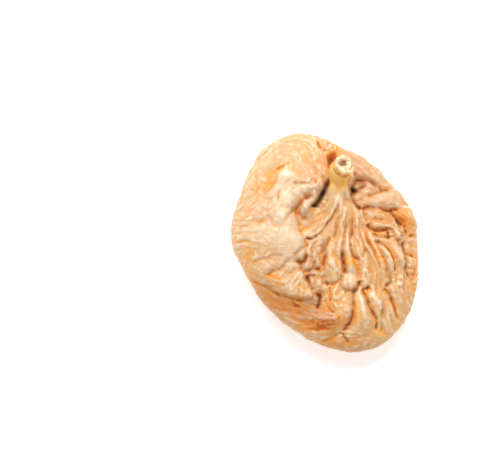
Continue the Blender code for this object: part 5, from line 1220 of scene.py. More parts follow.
# Soft spots of each colour: middle, half widths, turn and strength
SPOTS = {
    # Amber and honey patches of the skin; those in hollows and pockets beside folds also stand for the orange
    # shade there.
    Tint.AMBER: made(
        Patch,
        (3.2, 12.8, 2.1, 1.9, 0, 0.55), (1.9, 18.7, 2.1, 1.5, 45, 0.75), (5.1, 14.6, 0.8, 0.4, 0, 0.7),
        (5.4, -4.7, 1.4, 1.1, 0, 0.75), (6.8, -5.9, 0.4, 1.1, 25, 0.6), (16.7, 5, 0.8, 2.4, 36, 0.45),
        (0, -17.9, 4.2, 0.7, 4, 0.95), (-1, -19.1, 3.4, 0.5, 2, 0.9), (2.9, -17, 1, 0.6, 40, 0.8),
        (-6.3, -13.2, 0.9, 0.5, 0, 0.6), (-6.1, -14.1, 1.1, 0.5, 0, 0.6), (-9.5, -13.2, 7, 1.8, -28, 0.3),
        (-12.8, 12.6, 1.3, 3.8, -35, 0.35), (-9.4, 16.1, 1.6, 0.4, 35, 0.75),
        (-10.2, 9.6, 0.4, 1.7, 0, 0.6), (-2.2, 12.8, 0.5, 0.5, 0, 0.85), (-11.2, -7.8, 2.2, 0.9, -15, 0.6),
        (-9.9, -9.6, 0.9, 0.8, 0, 0.55), (-7, -10.8, 3, 1.2, -10, 0.35), (-4.6, -9.6, 0.5, 1, 20, 0.6),
        (-6, -8.2, 0.6, 0.5, 0, 0.5), (19, -7, 0.7, 1.3, 0, 0.9), (19.4, -5.2, 0.8, 2.4, 0, 0.5),
        (12, 1.9, 2, 0.6, -5, 0.85), (10.3, -0.6, 0.7, 2.6, 14, 0.6), (11.9, -3.7, 0.7, 1.8, 35, 0.55),
        (14.9, -3.9, 0.7, 2.2, 18, 0.5), (9.1, -11.1, 0.9, 0.9, 0, 0.8), (11, -16.6, 0.8, 3, 15, 0.5),
        (6.9, -14.6, 0.5, 3.2, 0, 0.65), (15.4, -14.9, 0.7, 2.4, 15, 0.7), (12.3, 12.2, 0.6, 0.5, 0, 0.8),
        (-1.5, 21.6, 0.5, 0.4, 0, 0.6), (-3.8, 17.6, 0.4, 1.1, 25, 0.5), (-3.4, -5.2, 0.6, 0.5, 0, 0.7),
        (-1.8, -6, 0.5, 0.4, 0, 0.8), (2.7, -5, 0.4, 0.6, 0, 0.5), (0.6, -4.7, 0.4, 0.6, 0, 0.5),
        (-0.2, -3.6, 0.8, 2, 0, 0.45), (8.4, 7, 0.6, 0.4, 0, 0.7), (13.9, 6.6, 1.1, 0.5, 0, 0.6),
        (18.5, -3, 0.9, 0.4, 0, 0.8), (1.5, 21.5, 3, 1.2, -20, 0.25), (2, -22.4, 8, 1.8, 0, 0.5),
        (-17, -3, 2, 6, 20, 0.3), (12.5, -20, 4, 1.4, 30, 0.35), (-2.5, -16.2, 7.5, 4.2, -8, 0.3),
        (12, 6, 4.5, 3.5, 0, 0.3), (0, -18.6, 2.6, 1, 5, 0.5), (-16.8, -9, 5, 2, -50, 0.3),
        (19.8, -6, 1.6, 6, 0, 0.45), (9.3, 0.3, 0.5, 1.6, 15, 0.6), (17.6, 5.2, 1.6, 2.4, 30, 0.55),
        (19, 3, 1.7, 3.4, 8, 0.5), (16.6, 6.4, 1.2, 1.6, 30, 0.45), (5.4, -5, 1, 1.8, 10, 0.4),
        (18.6, -1.2, 0.8, 1.4, 0, 0.35),
    ),
    Tint.PALE: made(
        Patch,
        (-11, 5, 8.5, 17, 8, 0.45), (6, -12, 7, 9, 0, 0.12), (-4.4, 10.6, 3.2, 2.4, 20, 0.7),
        (3, 11, 2.4, 3.5, 0, 0.5), (-8.5, 0.5, 5, 4, 0, 1), (-9.2, 9.5, 2.4, 6, -12, 1),
        (-6.5, 19.5, 5.5, 1.6, 12, 0.3), (-14, 16, 3.5, 5, -35, 0.45), (-15, 3, 4.5, 5.5, 0, 0.5),
        (-7.6, 13.9, 1.6, 1, 0, 0.8), (3.5, 9, 1.6, 2.4, 0, 0.8), (5.6, -8, 1.2, 1.6, 0, 0.7),
        (2, -6.6, 1, 1.6, 0, 0.3), (8.2, -14.6, 1.4, 4, 0, 0.5), (13, 9.4, 3, 1, 0, 0.35),
        (-7, -8.6, 2.2, 1.4, -20, 0.4), (19.2, 4.6, 0.9, 2, 30, 0.3), (4.8, -1, 0.6, 3, 0, 0.4),
        (-5.4, 3.4, 0.8, 3, 0, 0.5), (-3.9, 8, 0.8, 1.2, 0, 0.6),
    ),
    # Pinkish tint, and painted shade under the lobe, along the rims and in hollows, multiplied in.
    Tint.ROSE_AND_SHADE: made(
        Patch,
        (-12, 5, 11, 19, 0, 0.17), (6, 13.6, 0.7, 1.5, 8, 0.5), (19.3, -3, 2.4, 9, 0, 0.2),
        (17, 6, 4, 4, 40, 0.15), (-4, -16.2, 9.5, 3.6, -22, 0.55), (-11.5, -12.8, 7, 2.2, -32, 0.4),
        (5.5, 0.5, 4, 5.5, 0, 0.14), (12.5, 6.5, 5.5, 6, 0, 0.28), (-1.5, 15, 2.4, 4, -15, 0.3),
        (-12.5, 12, 1.6, 3.4, -20, 0.15), (9.3, 0.3, 1, 1.8, 40, 0.28), (1, -15.6, 4.6, 2.6, -10, 0.32),
        (11, 7, 5, 5, 0, 0.1), (-2.2, -6.2, 2.4, 4.6, 0, 0.5), (8, 16.8, 7, 2.4, -38, 0.38),
        (2, -23.4, 9, 1.6, 0, 0.42), (-0.3, -1.4, 0.9, 1.8, 0, 0.6), (-3.2, -0.2, 1, 0.6, 0, 0.6),
        (8.2, 12.7, 1, 0.5, 0, 0.7), (12.6, -14, 0.6, 1.1, 0, 0.5), (-3.3, -15.2, 1.9, 0.6, 0, 0.5),
        (3.9, -5, 0.5, 2.4, 0, 0.6), (0.8, 21.2, 0.4, 1.3, 0, 0.4), (-1.8, -13.4, 0.6, 1.4, 0, 0.5),
        (-3.6, 11, 2.4, 1.2, 20, 0.3), (-5.6, 5.2, 1.6, 0.9, 0, 0.3), (8.5, 12.6, 2.2, 1.1, 0, 0.6),
    ),
    # Near-black painted shadow in the gap under the lobe and in deep pits.
    Tint.DARK: made(
        Patch,
        (1.4, 17.7, 0.5, 0.9, -40, 0.5), (-0.3, 10.4, 0.3, 1.2, -28, 0.85), (0.7, 12.6, 0.3, 1.2, -25, 0.4),
        (-0.6, 9.9, 0.5, 1.7, -35, 0.9), (-2.2, 7.6, 1, 0.35, 0, 0.8), (-1.9, 8.1, 0.4, 1, -50, 0.7),
        (7.3, 11.6, 1.2, 0.25, 15, 0.45), (6.1, 11.1, 0.7, 0.6, 0, 1), (-3.8, -8.2, 0.25, 0.6, 10, 0.9),
        (-1.1, -13, 0.3, 1.2, -10, 0.5), (0.5, -9.2, 0.5, 0.3, -35, 0.7), (6.5, -11, 0.4, 0.4, 0, 0.9),
        (4.4, -11.1, 0.3, 0.3, 0, 0.7), (13.9, 1, 0.4, 0.4, 0, 0.8), (16.9, 1.5, 0.4, 0.3, 0, 0.8),
        (18.9, 1.2, 0.6, 0.3, 0, 0.7), (1.7, -15.3, 0.4, 0.3, 0, 0.6), (1.6, 18.3, 0.4, 0.9, -45, 0.3),
    ),
    # Whitish crystal dusting, and painted glints along fold edges and ridges.
    Tint.BLOOM: made(
        Patch,
        (11.3, 7.75, 1, 0.22, 0, 1), (16.1, 8.1, 0.25, 0.45, 0, 1), (18.2, 7.6, 1.4, 0.22, -4, 1),
        (14.6, 7.6, 0.9, 0.16, 3, 0.8), (8.1, -13.2, 0.25, 0.8, 0, 0.8), (10.5, -11.6, 0.25, 0.5, 10, 0.9),
        (11.7, -13.6, 0.4, 0.5, 30, 0.9), (16.2, -9.2, 0.3, 0.3, 0, 0.9), (4.6, -16.4, 0.25, 0.7, 15, 0.7),
        (3.9, -11.1, 0.3, 0.2, 0, 0.9), (-8.3, 14.4, 0.9, 0.5, 0, 0.7), (-8.4, 9.2, 0.6, 1.4, 10, 0.5),
        (-9.6, 5.3, 1.2, 0.5, 5, 0.6), (-6.6, 3.8, 0.7, 0.9, 0, 0.4), (18, -1.2, 0.3, 0.5, 0, 0.7),
        (-2.4, -10.8, 0.3, 0.3, 0, 0.6), (2.2, -23.2, 0.5, 0.15, 10, 0.6), (-7.6, -10.2, 1.6, 1.2, 40, 0.4),
        (-4.2, 10.6, 3, 2.2, 20, 0.3),
    ),
}

# Lay of the skin seen from above: place, direction, strength, reach and crumple
LAYS = made(
    Lay,
    (-8, 22, 6, 0.94, 4, 0.3), (-13, 18.5, 50, 0.85, 4, 0.35), (-16.5, 12, 66, 0.77, 4, 0.4),
    (-18, 4, 10, 0.77, 4, 0.4), (-14, 0, 2, 0.68, 4, 0.4), (-9, 1, 5, 0.42, 4, 0.3),
    (-11, 12, 60, 0.59, 3, 0.35), (-9, 7, 70, 0.51, 3, 0.5), (-7.6, 13, 20, 0.26, 2, 0.1),
    (0, 16, -80, 1.1, 2.5), (-4, 18, -70, 0.94, 4, 0.35), (-2.5, 11, -50, 1.2, 2.2, 1.3),
    (-5, 5, -60, 0.68, 2, 0.4), (-6, -10, 55, 0.94, 2.2, 0.3), (-13, -7, -25, 0.68, 3, 0.3),
    (-9, -13.5, -25, 0.7, 3, 0.3), (-3, -16, -18, 0.8, 3, 0.3), (0, -20, -8, 0.7, 3),
    (5, -22, 2, 0.9, 3, 0.6), (10, -22, 14, 0.8, 3, 0.5), (2, 4, -102, 0.6, 2.5, 0.1),
    (-2, 4, -125, 1.1, 2.5, 0.1), (-4, 1.5, -170, 1, 2, 0.2), (4, 2, -90, 0.6, 2.5, 0.1),
    (8, 2, -74, 0.7, 2.5, 0.2), (3.3, 11, -90, 0.9, 2, 0), (11, -4, -62, 0.8, 2.5),
    (-2, -3, -110, 0.8, 2, 1), (1, -6, -95, 0.7, 2.5, 0.5), (5, -6, -87, 0.6, 2.5, 0.3),
    (8.5, -6, -80, 0.9, 2.5, 0.4), (14, -5, -66, 0.8, 2.5), (8, -16, -82, 0.7, 3), (12, -16, -75, 0.9, 3),
    (15, -15, -65, 1, 3), (2, -13, -70, 1, 2.5, 0.9), (1, -17.5, 8, 0.9, 2, 0.2), (12, 9, 2, 0.5, 3, 0.15),
    (12, 5.5, -4, 0.9, 2.5, 0.5), (12, 3, -4, 0.9, 2, 0.6), (17, 6, -45, 0.6, 2.5, 0.3),
    (18, 0, -20, 0.8, 2.5, 0.5), (19, -7, 80, 0.9, 3, 0.9), (8, 16, -36, 0.8, 3, 0.4),
    (14, 12, -40, 0.5, 2.5, 0.5), (-2, -8, -70, 0.9, 2, 1.1), (0, 23, 10, 0.7, 2.5, 0.6),
    (16, -10, -70, 0.8, 2.5, 0.6),
)

# Lay of the skin on the underside
UNDER_LAYS = made(
    Lay,
    (-2, -5, 90, 0.9, 4), (-2, 4, 88, 0.8, 5), (-8, 6, 118, 0.9, 6), (6, 6, 65, 0.9, 6),
    (8, -8, 20, 0.9, 5), (-10, -8, 160, 0.9, 5), (-4, -18, 75, 0.9, 5), (6, -18, -45, 0.9, 5),
    (12, 4, 45, 0.9, 6), (-14, 10, 130, 0.9, 6), (0, 18, 85, 0.9, 6), (16, -12, 10, 0.9, 5),
)


def painted(tint: Tint, x: Array, y: Array) -> Array:
    """Strength of one tint's patches.

    Args:
        tint: The tint.
        x: Places along X.
        y: Places along Y.

    Returns:
        The combined strength at each place.
    """
    rest = np.ones(x.shape)
    for spot in SPOTS[tint]:
        rest *= 1 - spot.lift(x, y)
    return 1 - rest


@dataclass
class FigSkin:
    """The whole fig as one skin."""

    name: str = "fig_skin"
    pillow: Pillow = field(default_factory=Pillow)
    top: TopForm = field(default_factory=TopForm)
    under: UnderForm = field(default_factory=UnderForm)
    rim_folds: RimFolds = field(default_factory=RimFolds)
    stem: Stem = field(default_factory=Stem)
    floor_cut: float = 0.2
    top_fade: float = 7.0
    under_start: float = -2.0
    under_fade: float = 5.0
    under_pale: float = 0.3
    top_seed: int = 31
    under_seed: int = 41
    voxel: float = 0.225
    most_triangles: int = 194000
    near_steps: int = 14
    wide_steps: int = 90

    def body(self) -> tuple[Array, dict[str, Array]]:
        """Work out the body's points.

        Returns:
            The points as rows and rings, and the skin's traits at each of them.
        """
        rows = {name: value[:, None] for name, value in self.pillow.rows().items()}
        share, height, arc = rows["share"], rows["height"], rows["arc"]
        turn = np.linspace(0, 2 * math.pi, self.pillow.ring_points, endpoint=False)[None, :]
        cos, sin = np.cos(turn), np.sin(turn)
        radius = self.pillow.outline.radius(turn)
        slope = np.gradient(radius[0], turn[0])[None, :]
        out_x = radius * cos + slope * sin
        out_y = radius * sin - slope * cos
        out = np.hypot(out_x, out_y)
        x, y = share * radius * cos, share * radius * sin
        shape = x.shape
        wx, wy = self.top.warped(x.ravel(), y.ravel())
        level = self.top.level(wx, wy).reshape(shape)
        z = self.pillow.rim_z + np.where(height >= 0, level * height, self.pillow.rim_z * height)

        past = np.where(arc > 0, radius + arc * self.pillow.past_rim, share * radius)
        top_x, top_y = (past * cos).ravel(), (past * sin).ravel()
        ux, uy = self.top.warped(top_x, top_y)
        fold, cut = self.top.relief(ux, uy)
        rim_cut = self.rim_folds.cut(ux, uy, self.top.wander)
        top_sheet = Grain(LAYS, self.top_seed)
        top_grain = top_sheet.relief(top_x, top_y)

        before = np.where(arc < 0, radius - arc * self.pillow.past_rim, share * radius)
        under_x, under_y = (before * cos).ravel(), (before * sin).ravel()
        pucker, under_cut = self.under.relief(*self.top.warped(under_x, under_y))
        under_sheet = Grain(UNDER_LAYS, self.under_seed)
        under_grain = under_sheet.relief(under_x, under_y)

        top_share = smooth(1 - np.clip(arc, 0, None) / self.top_fade)
        under_share = above(arc, self.under_start, self.under_fade)

        def joined(upper: Array, lower: Array, lower_share: Array) -> Array:
            """Blend what the top and the underside say about each point."""
            return upper.reshape(shape) * top_share + lower.reshape(shape) * lower_share

        shift = joined(fold - rim_cut + top_grain, pucker + under_grain, under_share)
        x = x + shift * rows["out"] * out_x / out
        y = y + shift * rows["out"] * out_y / out
        z = z + shift * rows["up"] - self.floor_cut
        sx, sy = self.top.warped(x.ravel(), y.ravel())
        traits = {tint.value: painted(tint, sx, sy).reshape(shape) * top_share for tint in Tint}
        traits["pale"] = traits["pale"] - self.under_pale * above(arc, -2.6, 2.4)
        # Depth that the creases cut, from which the finish paints shade in them.
        traits["groove"] = joined(cut + rim_cut, under_cut, under_share)
        traits["grain"] = joined(top_grain, under_grain, under_share)
        lays = zip(("lay_cos", "lay_sin"), top_sheet.lay(top_x, top_y), under_sheet.lay(under_x, under_y))
        for name, upper, lower in lays:
            traits[name] = joined(upper, lower, 1 - top_share)
        return np.stack([x, y, np.maximum(z, 0.0)], axis=2), traits

    def build(self) -> bpy.types.Object:
        """Make the skin as one closed mesh with its traits as attributes.

        Returns:
            The skin's object.
        """
        points, traits = self.body()
        body = shell("body_form", points)
        stem = shell("stem_form", self.stem.rings())
        bpy.ops.object.select_all(action="DESELECT")
        body.select_set(True)
        stem.select_set(True)
        bpy.context.view_layer.objects.active = body
        bpy.ops.object.join()
        merge = body.modifiers.new("one_skin", "REMESH")
        merge.mode = "VOXEL"
        merge.voxel_size = self.voxel * MM
        mesh = self.evaluated(body)
        skin = bpy.data.objects.new(self.name, mesh)
        bpy.context.scene.collection.objects.link(skin)
        bpy.data.objects.remove(body)
        mesh.shade_smooth()
        self.mark(mesh, points, traits)
        self.thin(skin)
        return skin

    def evaluated(self, item: bpy.types.Object) -> bpy.types.Mesh:
        """Mesh that an object's modifiers make, under the skin's name."""
        bpy.context.view_layer.update()
        depsgraph = bpy.context.evaluated_depsgraph_get()
        mesh = bpy.data.meshes.new_from_object(item.evaluated_get(depsgraph))
        mesh.name = self.name
        return mesh

    def thin(self, skin: bpy.types.Object) -> None:
        """Join faces where the skin is flattest, until few enough are left.

        Args:
            skin: The object, whose mesh is replaced.
        """
        mesh = skin.data
        mesh.name = "all_faces"
        mesh.calc_loop_triangles()
        fewer = skin.modifiers.new("fewer_faces", "DECIMATE")
        fewer.ratio = min(1.0, self.most_triangles / len(mesh.loop_triangles))
        thinned = self.evaluated(skin)
        skin.modifiers.remove(fewer)
        skin.data = thinned
        bpy.data.meshes.remove(mesh)

    def mark(self, mesh: bpy.types.Mesh, points: Array, traits: dict[str, Array]) -> None:
        """Store the skin's traits on the finished mesh.

        Args:
            mesh: The finished mesh.
            points: The body's points as rows and rings.
            traits: Traits at each of those points.
        """
        count = len(mesh.vertices)
        place = np.empty(count * 3, np.float32)
        mesh.vertices.foreach_get("co", place)
        place = place.reshape(-1, 3).astype(float) / MM
        flat = points.reshape(-1, 3)
        tree = KDTree(len(flat))
        for k, point in enumerate(flat):
            tree.insert(point, k)
        tree.balance()
        nearest = np.array([tree.find(point)[1] for point in place])
        for name, values in traits.items():
            self.store(mesh, name, values.ravel()[nearest])
        # Depths below the surroundings; the finish paints shade in hollows and highlights on rises from them.
        for name, depth in zip(("hollow", "dip"), self.hollows(mesh, place)):
            self.store(mesh, name, depth)
        for name, values in self.stem.traits(place).items():
            self.store(mesh, name, values)

    @staticmethod
    def store(mesh: bpy.types.Mesh, name: str, values: Array) -> None:
        """Store one number at each vertex."""
        layer = mesh.attributes.new(name, "FLOAT", "POINT")
        layer.data.foreach_set("value", values.astype(np.float32))

    def hollows(self, mesh: bpy.types.Mesh, place: Array) -> list[Array]:
        """How far each vertex lies below its near and its wider surroundings, in millimetres.

        Ridges are below 0.

        Args:
            mesh: The finished mesh.
            place: Its vertices, in millimetres.

        Returns:
            The two depths at each vertex.
        """
        count = len(place)
        edges = np.empty(len(mesh.edges) * 2, np.int32)
        mesh.edges.foreach_get("vertices", edges)
        a, b = edges[0::2], edges[1::2]
        normal = np.empty(count * 3, np.float32)
        mesh.vertices.foreach_get("normal", normal)
        normal = normal.reshape(-1, 3)
        degree = np.bincount(a, minlength=count) + np.bincount(b, minlength=count)
        mean = place.copy()
        depths = []
        for step in range(1, self.wide_steps + 1):
            total = mean.copy()
            for axis in range(3):
                total[:, axis] += np.bincount(a, mean[b, axis], count) + np.bincount(b, mean[a, axis], count)
            mean = total / (degree + 1)[:, None]
            if step in (self.near_steps, self.wide_steps):
                depths.append(np.einsum("ij,ij->i", mean - place, normal))
        return depths


class Links:
    """Short ways to add nodes to a material."""

    def __init__(self, tree: bpy.types.NodeTree) -> None:
        """Work on one node tree."""
        self.tree = tree

    def node(self, kind: str, **values: object) -> bpy.types.Node:
        """Add a node and set its inputs, each by its name with _ for a space.

        Args:
            kind: Name of the node's type.
            values: Number, colour or socket for each input.

        Returns:
            The new node.
        """
        node = self.tree.nodes.new(kind)
        for name, value in values.items():
            self.put(node.inputs[name.replace("_", " ")], value)
        return node

    def put(self, socket: Socket, value: object) -> None:
        """Link a socket to an input, or set the input to a plain value."""
        if isinstance(value, Socket):
            self.tree.links.new(value, socket)
        else:
            socket.default_value = value

    def place(self) -> Socket:
        """Place in the object's own space."""
        return self.node("ShaderNodeTexCoord").outputs["Object"]

    def trait(self, name: str) -> Socket:
        """Number that the mesh stores at each vertex under a name."""
        node = self.node("ShaderNodeAttribute")
        node.attribute_name = name
        return node.outputs["Fac"]

    def noise(self, scale: float, detail: float) -> Socket:
        """Noise in the object's own space, with scale in cells for each metre."""
        return self.node("ShaderNodeTexNoise", Vector=self.place(), Scale=scale, Detail=detail).outputs["Fac"]

    def math(self, kind: str, *values: object) -> Socket:
        """Combine numbers or sockets one after another.

        Args:
            kind: Name of the operation.
            values: The numbers and sockets.

        Returns:
            The result's socket.
        """
        result = values[0]
        for value in values[1:]:
            node = self.node("ShaderNodeMath")
            node.operation = kind
            self.put(node.inputs[0], result)
            self.put(node.inputs[1], value)
            result = node.outputs["Value"]
        return result

    def sum(self, *values: object) -> Socket:
        """Add numbers or sockets."""
        return self.math("ADD", *values)

    def product(self, *values: object) -> Socket:
        """Multiply numbers or sockets."""
        return self.math("MULTIPLY", *values)

    def centred(self, value: Socket, *factors: object) -> Socket:
        """Value less one half, multiplied by the factors."""
        return self.product(self.sum(value, -0.5), *factors)

    def span(self, value: Socket, low: float, high: float) -> Socket:
        """Share from 0 at one value to 1 at another, eased."""
        node = self.node("ShaderNodeMapRange", Value=value, From_Min=min(low, high), From_Max=max(low, high),
                         To_Min=float(low > high), To_Max=float(low < high))
        node.interpolation_type = "SMOOTHSTEP"
        return node.outputs["Result"]

    def strands(self, size: tuple, ways: int, sharpness: float) -> Socket:
        """Fine lines that follow the lay of the skin.

        Lines of a few fixed directions are blended by how near each is to the lay.

        Args:
            size: Length, width and height of a line.
            ways: Number of directions.
            sharpness: Power that keeps the directions apart.

        Returns:
            The socket of a height that is about 0 on average.
        """
        place = self.place()
        cos, sin = self.trait("lay_cos"), self.trait("lay_sin")
        total, weight = 0.0, 0.001
        for k in range(ways):
            turn = math.pi * k / ways
            mapping = self.node("ShaderNodeMapping")
            mapping.vector_type = "TEXTURE"
            self.put(mapping.inputs["Vector"], place)
            self.put(mapping.inputs["Rotation"], (0.0, 0.0, turn))
            self.put(mapping.inputs["Scale"], size)
            lines = self.node("ShaderNodeTexNoise", Vector=mapping.outputs["Vector"], Scale=1.0, Detail=2.0)
            near = self.sum(self.product(cos, math.cos(2 * turn)), self.product(sin, math.sin(2 * turn)))
            near = self.math("POWER", self.math("MAXIMUM", near, 0.0), sharpness)
            total = self.sum(total, self.product(near, self.sum(lines.outputs["Fac"], -0.5)))
            weight = self.sum(weight, near)
        return self.math("DIVIDE", total, weight)

    def mix(self, share: Socket, a: object, b: object, kind: str = "MIX") -> Socket:
        """Blend two colours.

        Args:
            share: Share of the second colour, held between 0 and 1.
            a: First colour or socket.
            b: Second colour or socket.
            kind: Name of the way to blend.

        Returns:
            The blended colour's socket.
        """
        node = self.node("ShaderNodeMix", Factor=share)
        node.data_type = "RGBA"
        node.blend_type = kind
        node.clamp_factor = True
        for name, value in (("A", a), ("B", b)):
            self.put(next(s for s in node.inputs if s.name == name and s.type == "RGBA"), value)
        return next(s for s in node.outputs if s.type == "RGBA")


@dataclass(frozen=True)
class SkinFinish:
    """Waxy, slightly translucent dried skin with amber patches and a whitish crystal dusting; its colour also
    carries painted shade in creases, hollows and gaps, and painted highlights and glints on ridges.
    """

    cream: tuple = (0.92, 0.685, 0.445, 1.0)
    tan: tuple = (0.76, 0.425, 0.175, 1.0)
    honey: tuple = (0.92, 0.41, 0.08, 1.0)
    amber: tuple = (0.62, 0.15, 0.012, 1.0)
    # Multiplied in as a pinkish tint and as painted shade.
    rose_and_shade: tuple = (0.58, 0.43, 0.48, 1.0)
    # Painted shade in creases, and the colour of fine pores and lines.
    brown_and_crease_shade: tuple = (0.40, 0.14, 0.045, 1.0)
    # Whitish crystal dusting, and painted glints on ridges and fold edges.
    sugar_and_glint: tuple = (1.0, 0.90, 0.76, 1.0)
    # Near-black painted shadow in the gap under the lobe and in deep pits.
    gap_shadow: tuple = (0.05, 0.014, 0.006, 1.0)
    wood: tuple = (0.95, 0.73, 0.44, 1.0)
    core: tuple = (0.34, 0.12, 0.05, 1.0)
    bark: tuple = (1.0, 0.60, 0.12, 1.0)
    # Painted shadow band under the stem's cut face.
    collar_shadow: tuple = (0.50, 0.12, 0.02, 1.0)
    roughness: float = 0.42
    uneven_gloss: float = 0.25
    specular: float = 0.26
    glow: float = 0.13
    glow_radius: tuple = (1.0, 0.45, 0.18)
    glow_scale: float = 0.7 * MM
    coat: float = 0.14
    coat_roughness: float = 0.12
    strand: tuple = (2.4 * MM, 0.36 * MM, 1.5 * MM)
    strand_ways: int = 6
    strand_sharpness: float = 6.0
    bump_strength: float = 0.8
    bump_depth: float = 0.12 * MM

    def material(self) -> bpy.types.Material:
        """Build the finish from nodes.

        Returns:
            The new material.
        """
        material = bpy.data.materials.new("dried_skin")
        material.use_nodes = True
        links = Links(material.node_tree)
        mottle = links.noise(scale=420.0, detail=4.0)
        lines = links.strands(self.strand, self.strand_ways, self.strand_sharpness)
        pores = links.product(links.noise(scale=2900.0, detail=5.0), 0.8)
        bump = links.node("ShaderNodeBump", Strength=self.bump_strength, Distance=self.bump_depth,
                          Height=links.sum(pores, links.product(lines, 0.3)))
        inputs = material.node_tree.nodes["Principled BSDF"].inputs
        looks = {
            "Base Color": self.colour(links, mottle, lines),
            "Roughness": links.sum(self.roughness, links.centred(mottle, self.uneven_gloss)),
            "Normal": bump.outputs["Normal"],
            "Subsurface Weight": self.glow,
            "Subsurface Radius": self.glow_radius,
            "Subsurface Scale": self.glow_scale,
            "Specular IOR Level": self.specular,
            "Coat Weight": self.coat,
            "Coat Roughness": self.coat_roughness,
        }
        for name, value in looks.items():
            links.put(inputs[name], value)
        return material

    def colour(self, links: Links, mottle: Socket, lines: Socket) -> Socket:
        """Lay the skin's colours one over another, with painted shade in creases, valleys and gaps and
        painted highlights on ridges.

        Args:
            links: Maker of the nodes.
            mottle: Soft noise.
            lines: Height of the fine lines.

        Returns:
            The colour's socket.
        """
        patch = links.noise(scale=140.0, detail=3.0)
        fleck = links.span(links.noise(scale=2700.0, detail=3.0), 0.3, 0.7)
        speck = links.span(links.noise(scale=3600.0, detail=2.0), 0.54, 0.68)
        pore = links.span(links.noise(scale=2300.0, detail=2.0), 0.60, 0.74)
        calm = links.sum(1.0, links.product(links.trait("pale"), -0.65))
        strand = links.span(lines, -0.16, 0.16)
        thread = links.span(lines, -0.08, -0.2)
        # Ridges and valleys of the form: the finish paints ridges lighter and valleys darker and more amber,
        # as painted light and shade.
        ridge = links.span(links.trait("hollow"), 0.02, -0.16)
        valley = links.span(links.trait("hollow"), 0.0, 0.20)
        groove = links.span(links.trait("groove"), 0.2, 0.85)
        # Fine wrinkles are painted lighter on their tops and more amber between them, as painted light and
        # shade.
        wrinkle_light_and_shade = links.sum(links.span(links.trait("grain"), -0.12, 0.16), -0.5)
        bloom_and_glint, collar_shadow = links.trait("bloom_and_glint"), links.trait("collar_shadow")
        # Share of cream: pale patches and mottle of the skin, plus painted highlights on ridges, wrinkle tops
        # and broad rises.
        pale = links.sum(
            links.product(links.trait("pale"), 0.92),
            links.centred(mottle, 0.6),
            links.product(ridge, 0.45),
            links.product(wrinkle_light_and_shade, 0.36),
            links.centred(fleck, calm, 0.4),
            links.centred(strand, calm, 0.14),
            -0.17,
            links.product(links.span(links.trait("dip"), 0.1, -0.45), 0.3),
        )
        # Share of amber: amber patches and tone of the skin, plus painted orange shade in valleys and broad
        # hollows.
        amber = links.sum(
            links.trait("amber"),
            links.centred(patch, 0.7),
            links.product(valley, 0.24),
            links.product(ridge, -0.3),
            links.product(wrinkle_light_and_shade, -0.2),
            links.product(links.span(links.trait("dip"), 0.0, 0.6), 0.35),
        )
        # Painted shade in the creases, strongest where they lie in valleys.
        dark = links.product(groove, links.sum(0.15, links.product(valley, 0.85)))
        # Whitish specks on ridges: crystal dusting and painted glints.
        crystal_and_glint_specks = links.product(speck, links.sum(links.product(ridge, 0.35), bloom_and_glint))
        # Pinkish tint and painted shade, deeper in valleys.
        rose_and_valley_shade = links.sum(links.trait("rose_and_shade"), links.product(valley, 0.22))
        coats = (
            (links.span(amber, 0.0, 0.55), self.honey, "MIX"),
            (links.span(amber, 0.45, 1.0), self.amber, "MIX"),
            # painted shade in creases
            (links.product(dark, 0.9), self.brown_and_crease_shade, "MIX"),
            (links.product(pore, calm, 0.25), self.brown_and_crease_shade, "MIX"),
            (links.product(thread, calm, 0.12), self.brown_and_crease_shade, "MIX"),
            # pinkish tint and painted shade, multiplied in
            (rose_and_valley_shade, self.rose_and_shade, "MULTIPLY"),
            # whitish crystal dusting and painted glints
            (links.sum(crystal_and_glint_specks, links.product(bloom_and_glint, 0.65)), self.sugar_and_glint, "MIX"),
            # near-black painted shadow in the gap and pits
            (links.trait("dark"), self.gap_shadow, "MIX"),
            (links.trait("bark"), self.bark, "MIX"),
            # painted shadow band under the stem's cut face
            (links.product(collar_shadow, links.sum(collar_shadow, links.centred(mottle, 0.6))), self.collar_shadow, "MIX"),
            (links.trait("cut_face"), self.wood, "MIX"),
            (links.trait("pith"), self.core, "MIX"),
        )
        colour = links.mix(pale, self.tan, self.cream)
        for share, coat, kind in coats:
            colour = links.mix(share, colour, coat, kind)
        return colour


@dataclass(frozen=True)
class Lamp:
    """A square soft light: its place and side in millimetres, and its power in watts."""

    name: str
    place: tuple
    side: float
    watts: float

    def hang(self) -> None:
        """Hang the light so that it faces the fig."""
        data = bpy.data.lights.new(self.name, "AREA")
        data.energy = self.watts
        data.size = self.side * MM
        lamp = bpy.data.objects.new(self.name, data)
        lamp.location = Vector(self.place) * MM
        lamp.rotation_euler = (-Vector(self.place)).to_track_quat("-Z", "Y").to_euler()
        bpy.context.scene.collection.objects.link(lamp)


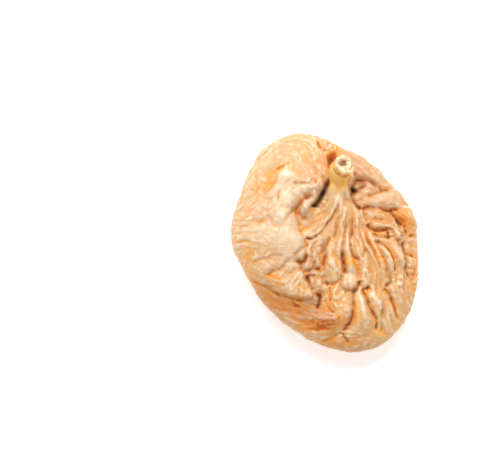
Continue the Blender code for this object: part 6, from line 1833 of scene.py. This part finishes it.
@dataclass
class Studio:
    """Pale floor, soft light and the camera that looks down on the fig."""

    floor_side: float = 3000.0
    floor_colour: tuple = (0.90, 0.90, 0.90, 1.0)
    floor_roughness: float = 0.9
    floor_glow: float = 0.42
    white: tuple = (1.0, 1.0, 1.0, 1.0)
    surround: float = 0.575
    lamps: tuple = (
        Lamp("key", (-60.0, 300.0, 420.0), 300.0, 1.85),
        Lamp("glint", (90.0, 240.0, 460.0), 70.0, 0.4),
    )
    pixel: float = 0.22
    frame_wide: int = 490
    sensor: float = 36.0
    nearest: float = 10.0
    aim: tuple = (-17.4, 3.6, 8.0)
    distance: float = 520.0
    elevation: float = 86.0

    def floor(self) -> None:
        """Lay a wide pale floor."""
        bpy.ops.mesh.primitive_plane_add(size=self.floor_side * MM, location=(0, 0, 0))
        floor = bpy.context.object
        floor.name = "floor"
        material = bpy.data.materials.new("pale_floor")
        material.use_nodes = True
        shader = material.node_tree.nodes["Principled BSDF"]
        shader.inputs["Base Color"].default_value = self.floor_colour
        shader.inputs["Roughness"].default_value = self.floor_roughness
        shader.inputs["Specular IOR Level"].default_value = 0.0
        shader.inputs["Emission Color"].default_value = self.white
        shader.inputs["Emission Strength"].default_value = self.floor_glow
        floor.data.materials.append(material)

    def light(self) -> None:
        """Light the fig softly from behind, with a bright surround."""
        world = bpy.data.worlds.new("studio")
        bpy.context.scene.world = world
        world.use_nodes = True
        surround = world.node_tree.nodes["Background"]
        surround.inputs["Color"].default_value = self.white
        surround.inputs["Strength"].default_value = self.surround
        for lamp in self.lamps:
            lamp.hang()
        view = bpy.context.scene.view_settings
        view.view_transform = "Standard"
        view.look = "None"
        view.exposure = 0.0

    def camera(self) -> None:
        """Set the camera so that one pixel of the photograph is its real size at the fig."""
        data = bpy.data.cameras.new("camera")
        data.sensor_width = self.sensor
        data.lens = data.sensor_width * self.distance / (self.frame_wide * self.pixel)
        data.clip_start = self.nearest * MM
        camera = bpy.data.objects.new("camera", data)
        tilt = math.radians(self.elevation)
        away = Vector((0.0, -math.cos(tilt), math.sin(tilt))) * self.distance
        camera.location = (Vector(self.aim) + away) * MM
        camera.rotation_euler = (-away).to_track_quat("-Z", "Y").to_euler()
        bpy.context.scene.collection.objects.link(camera)
        bpy.context.scene.camera = camera


def main() -> None:
    """Build the fig and its stage, and report each piece."""
    logging.basicConfig(level=logging.INFO, format="%(message)s")
    studio = Studio()
    studio.camera()
    studio.light()
    studio.floor()
    LOG.info("stage is set")
    skin = FigSkin().build()
    skin.data.materials.clear()
    skin.data.materials.append(SkinFinish().material())
    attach(skin, "root")
    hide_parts("dried_fig")
    skin.data.calc_loop_triangles()
    LOG.info("fig_skin: %d triangles", len(skin.data.loop_triangles))


if __name__ == "__main__":
    main()
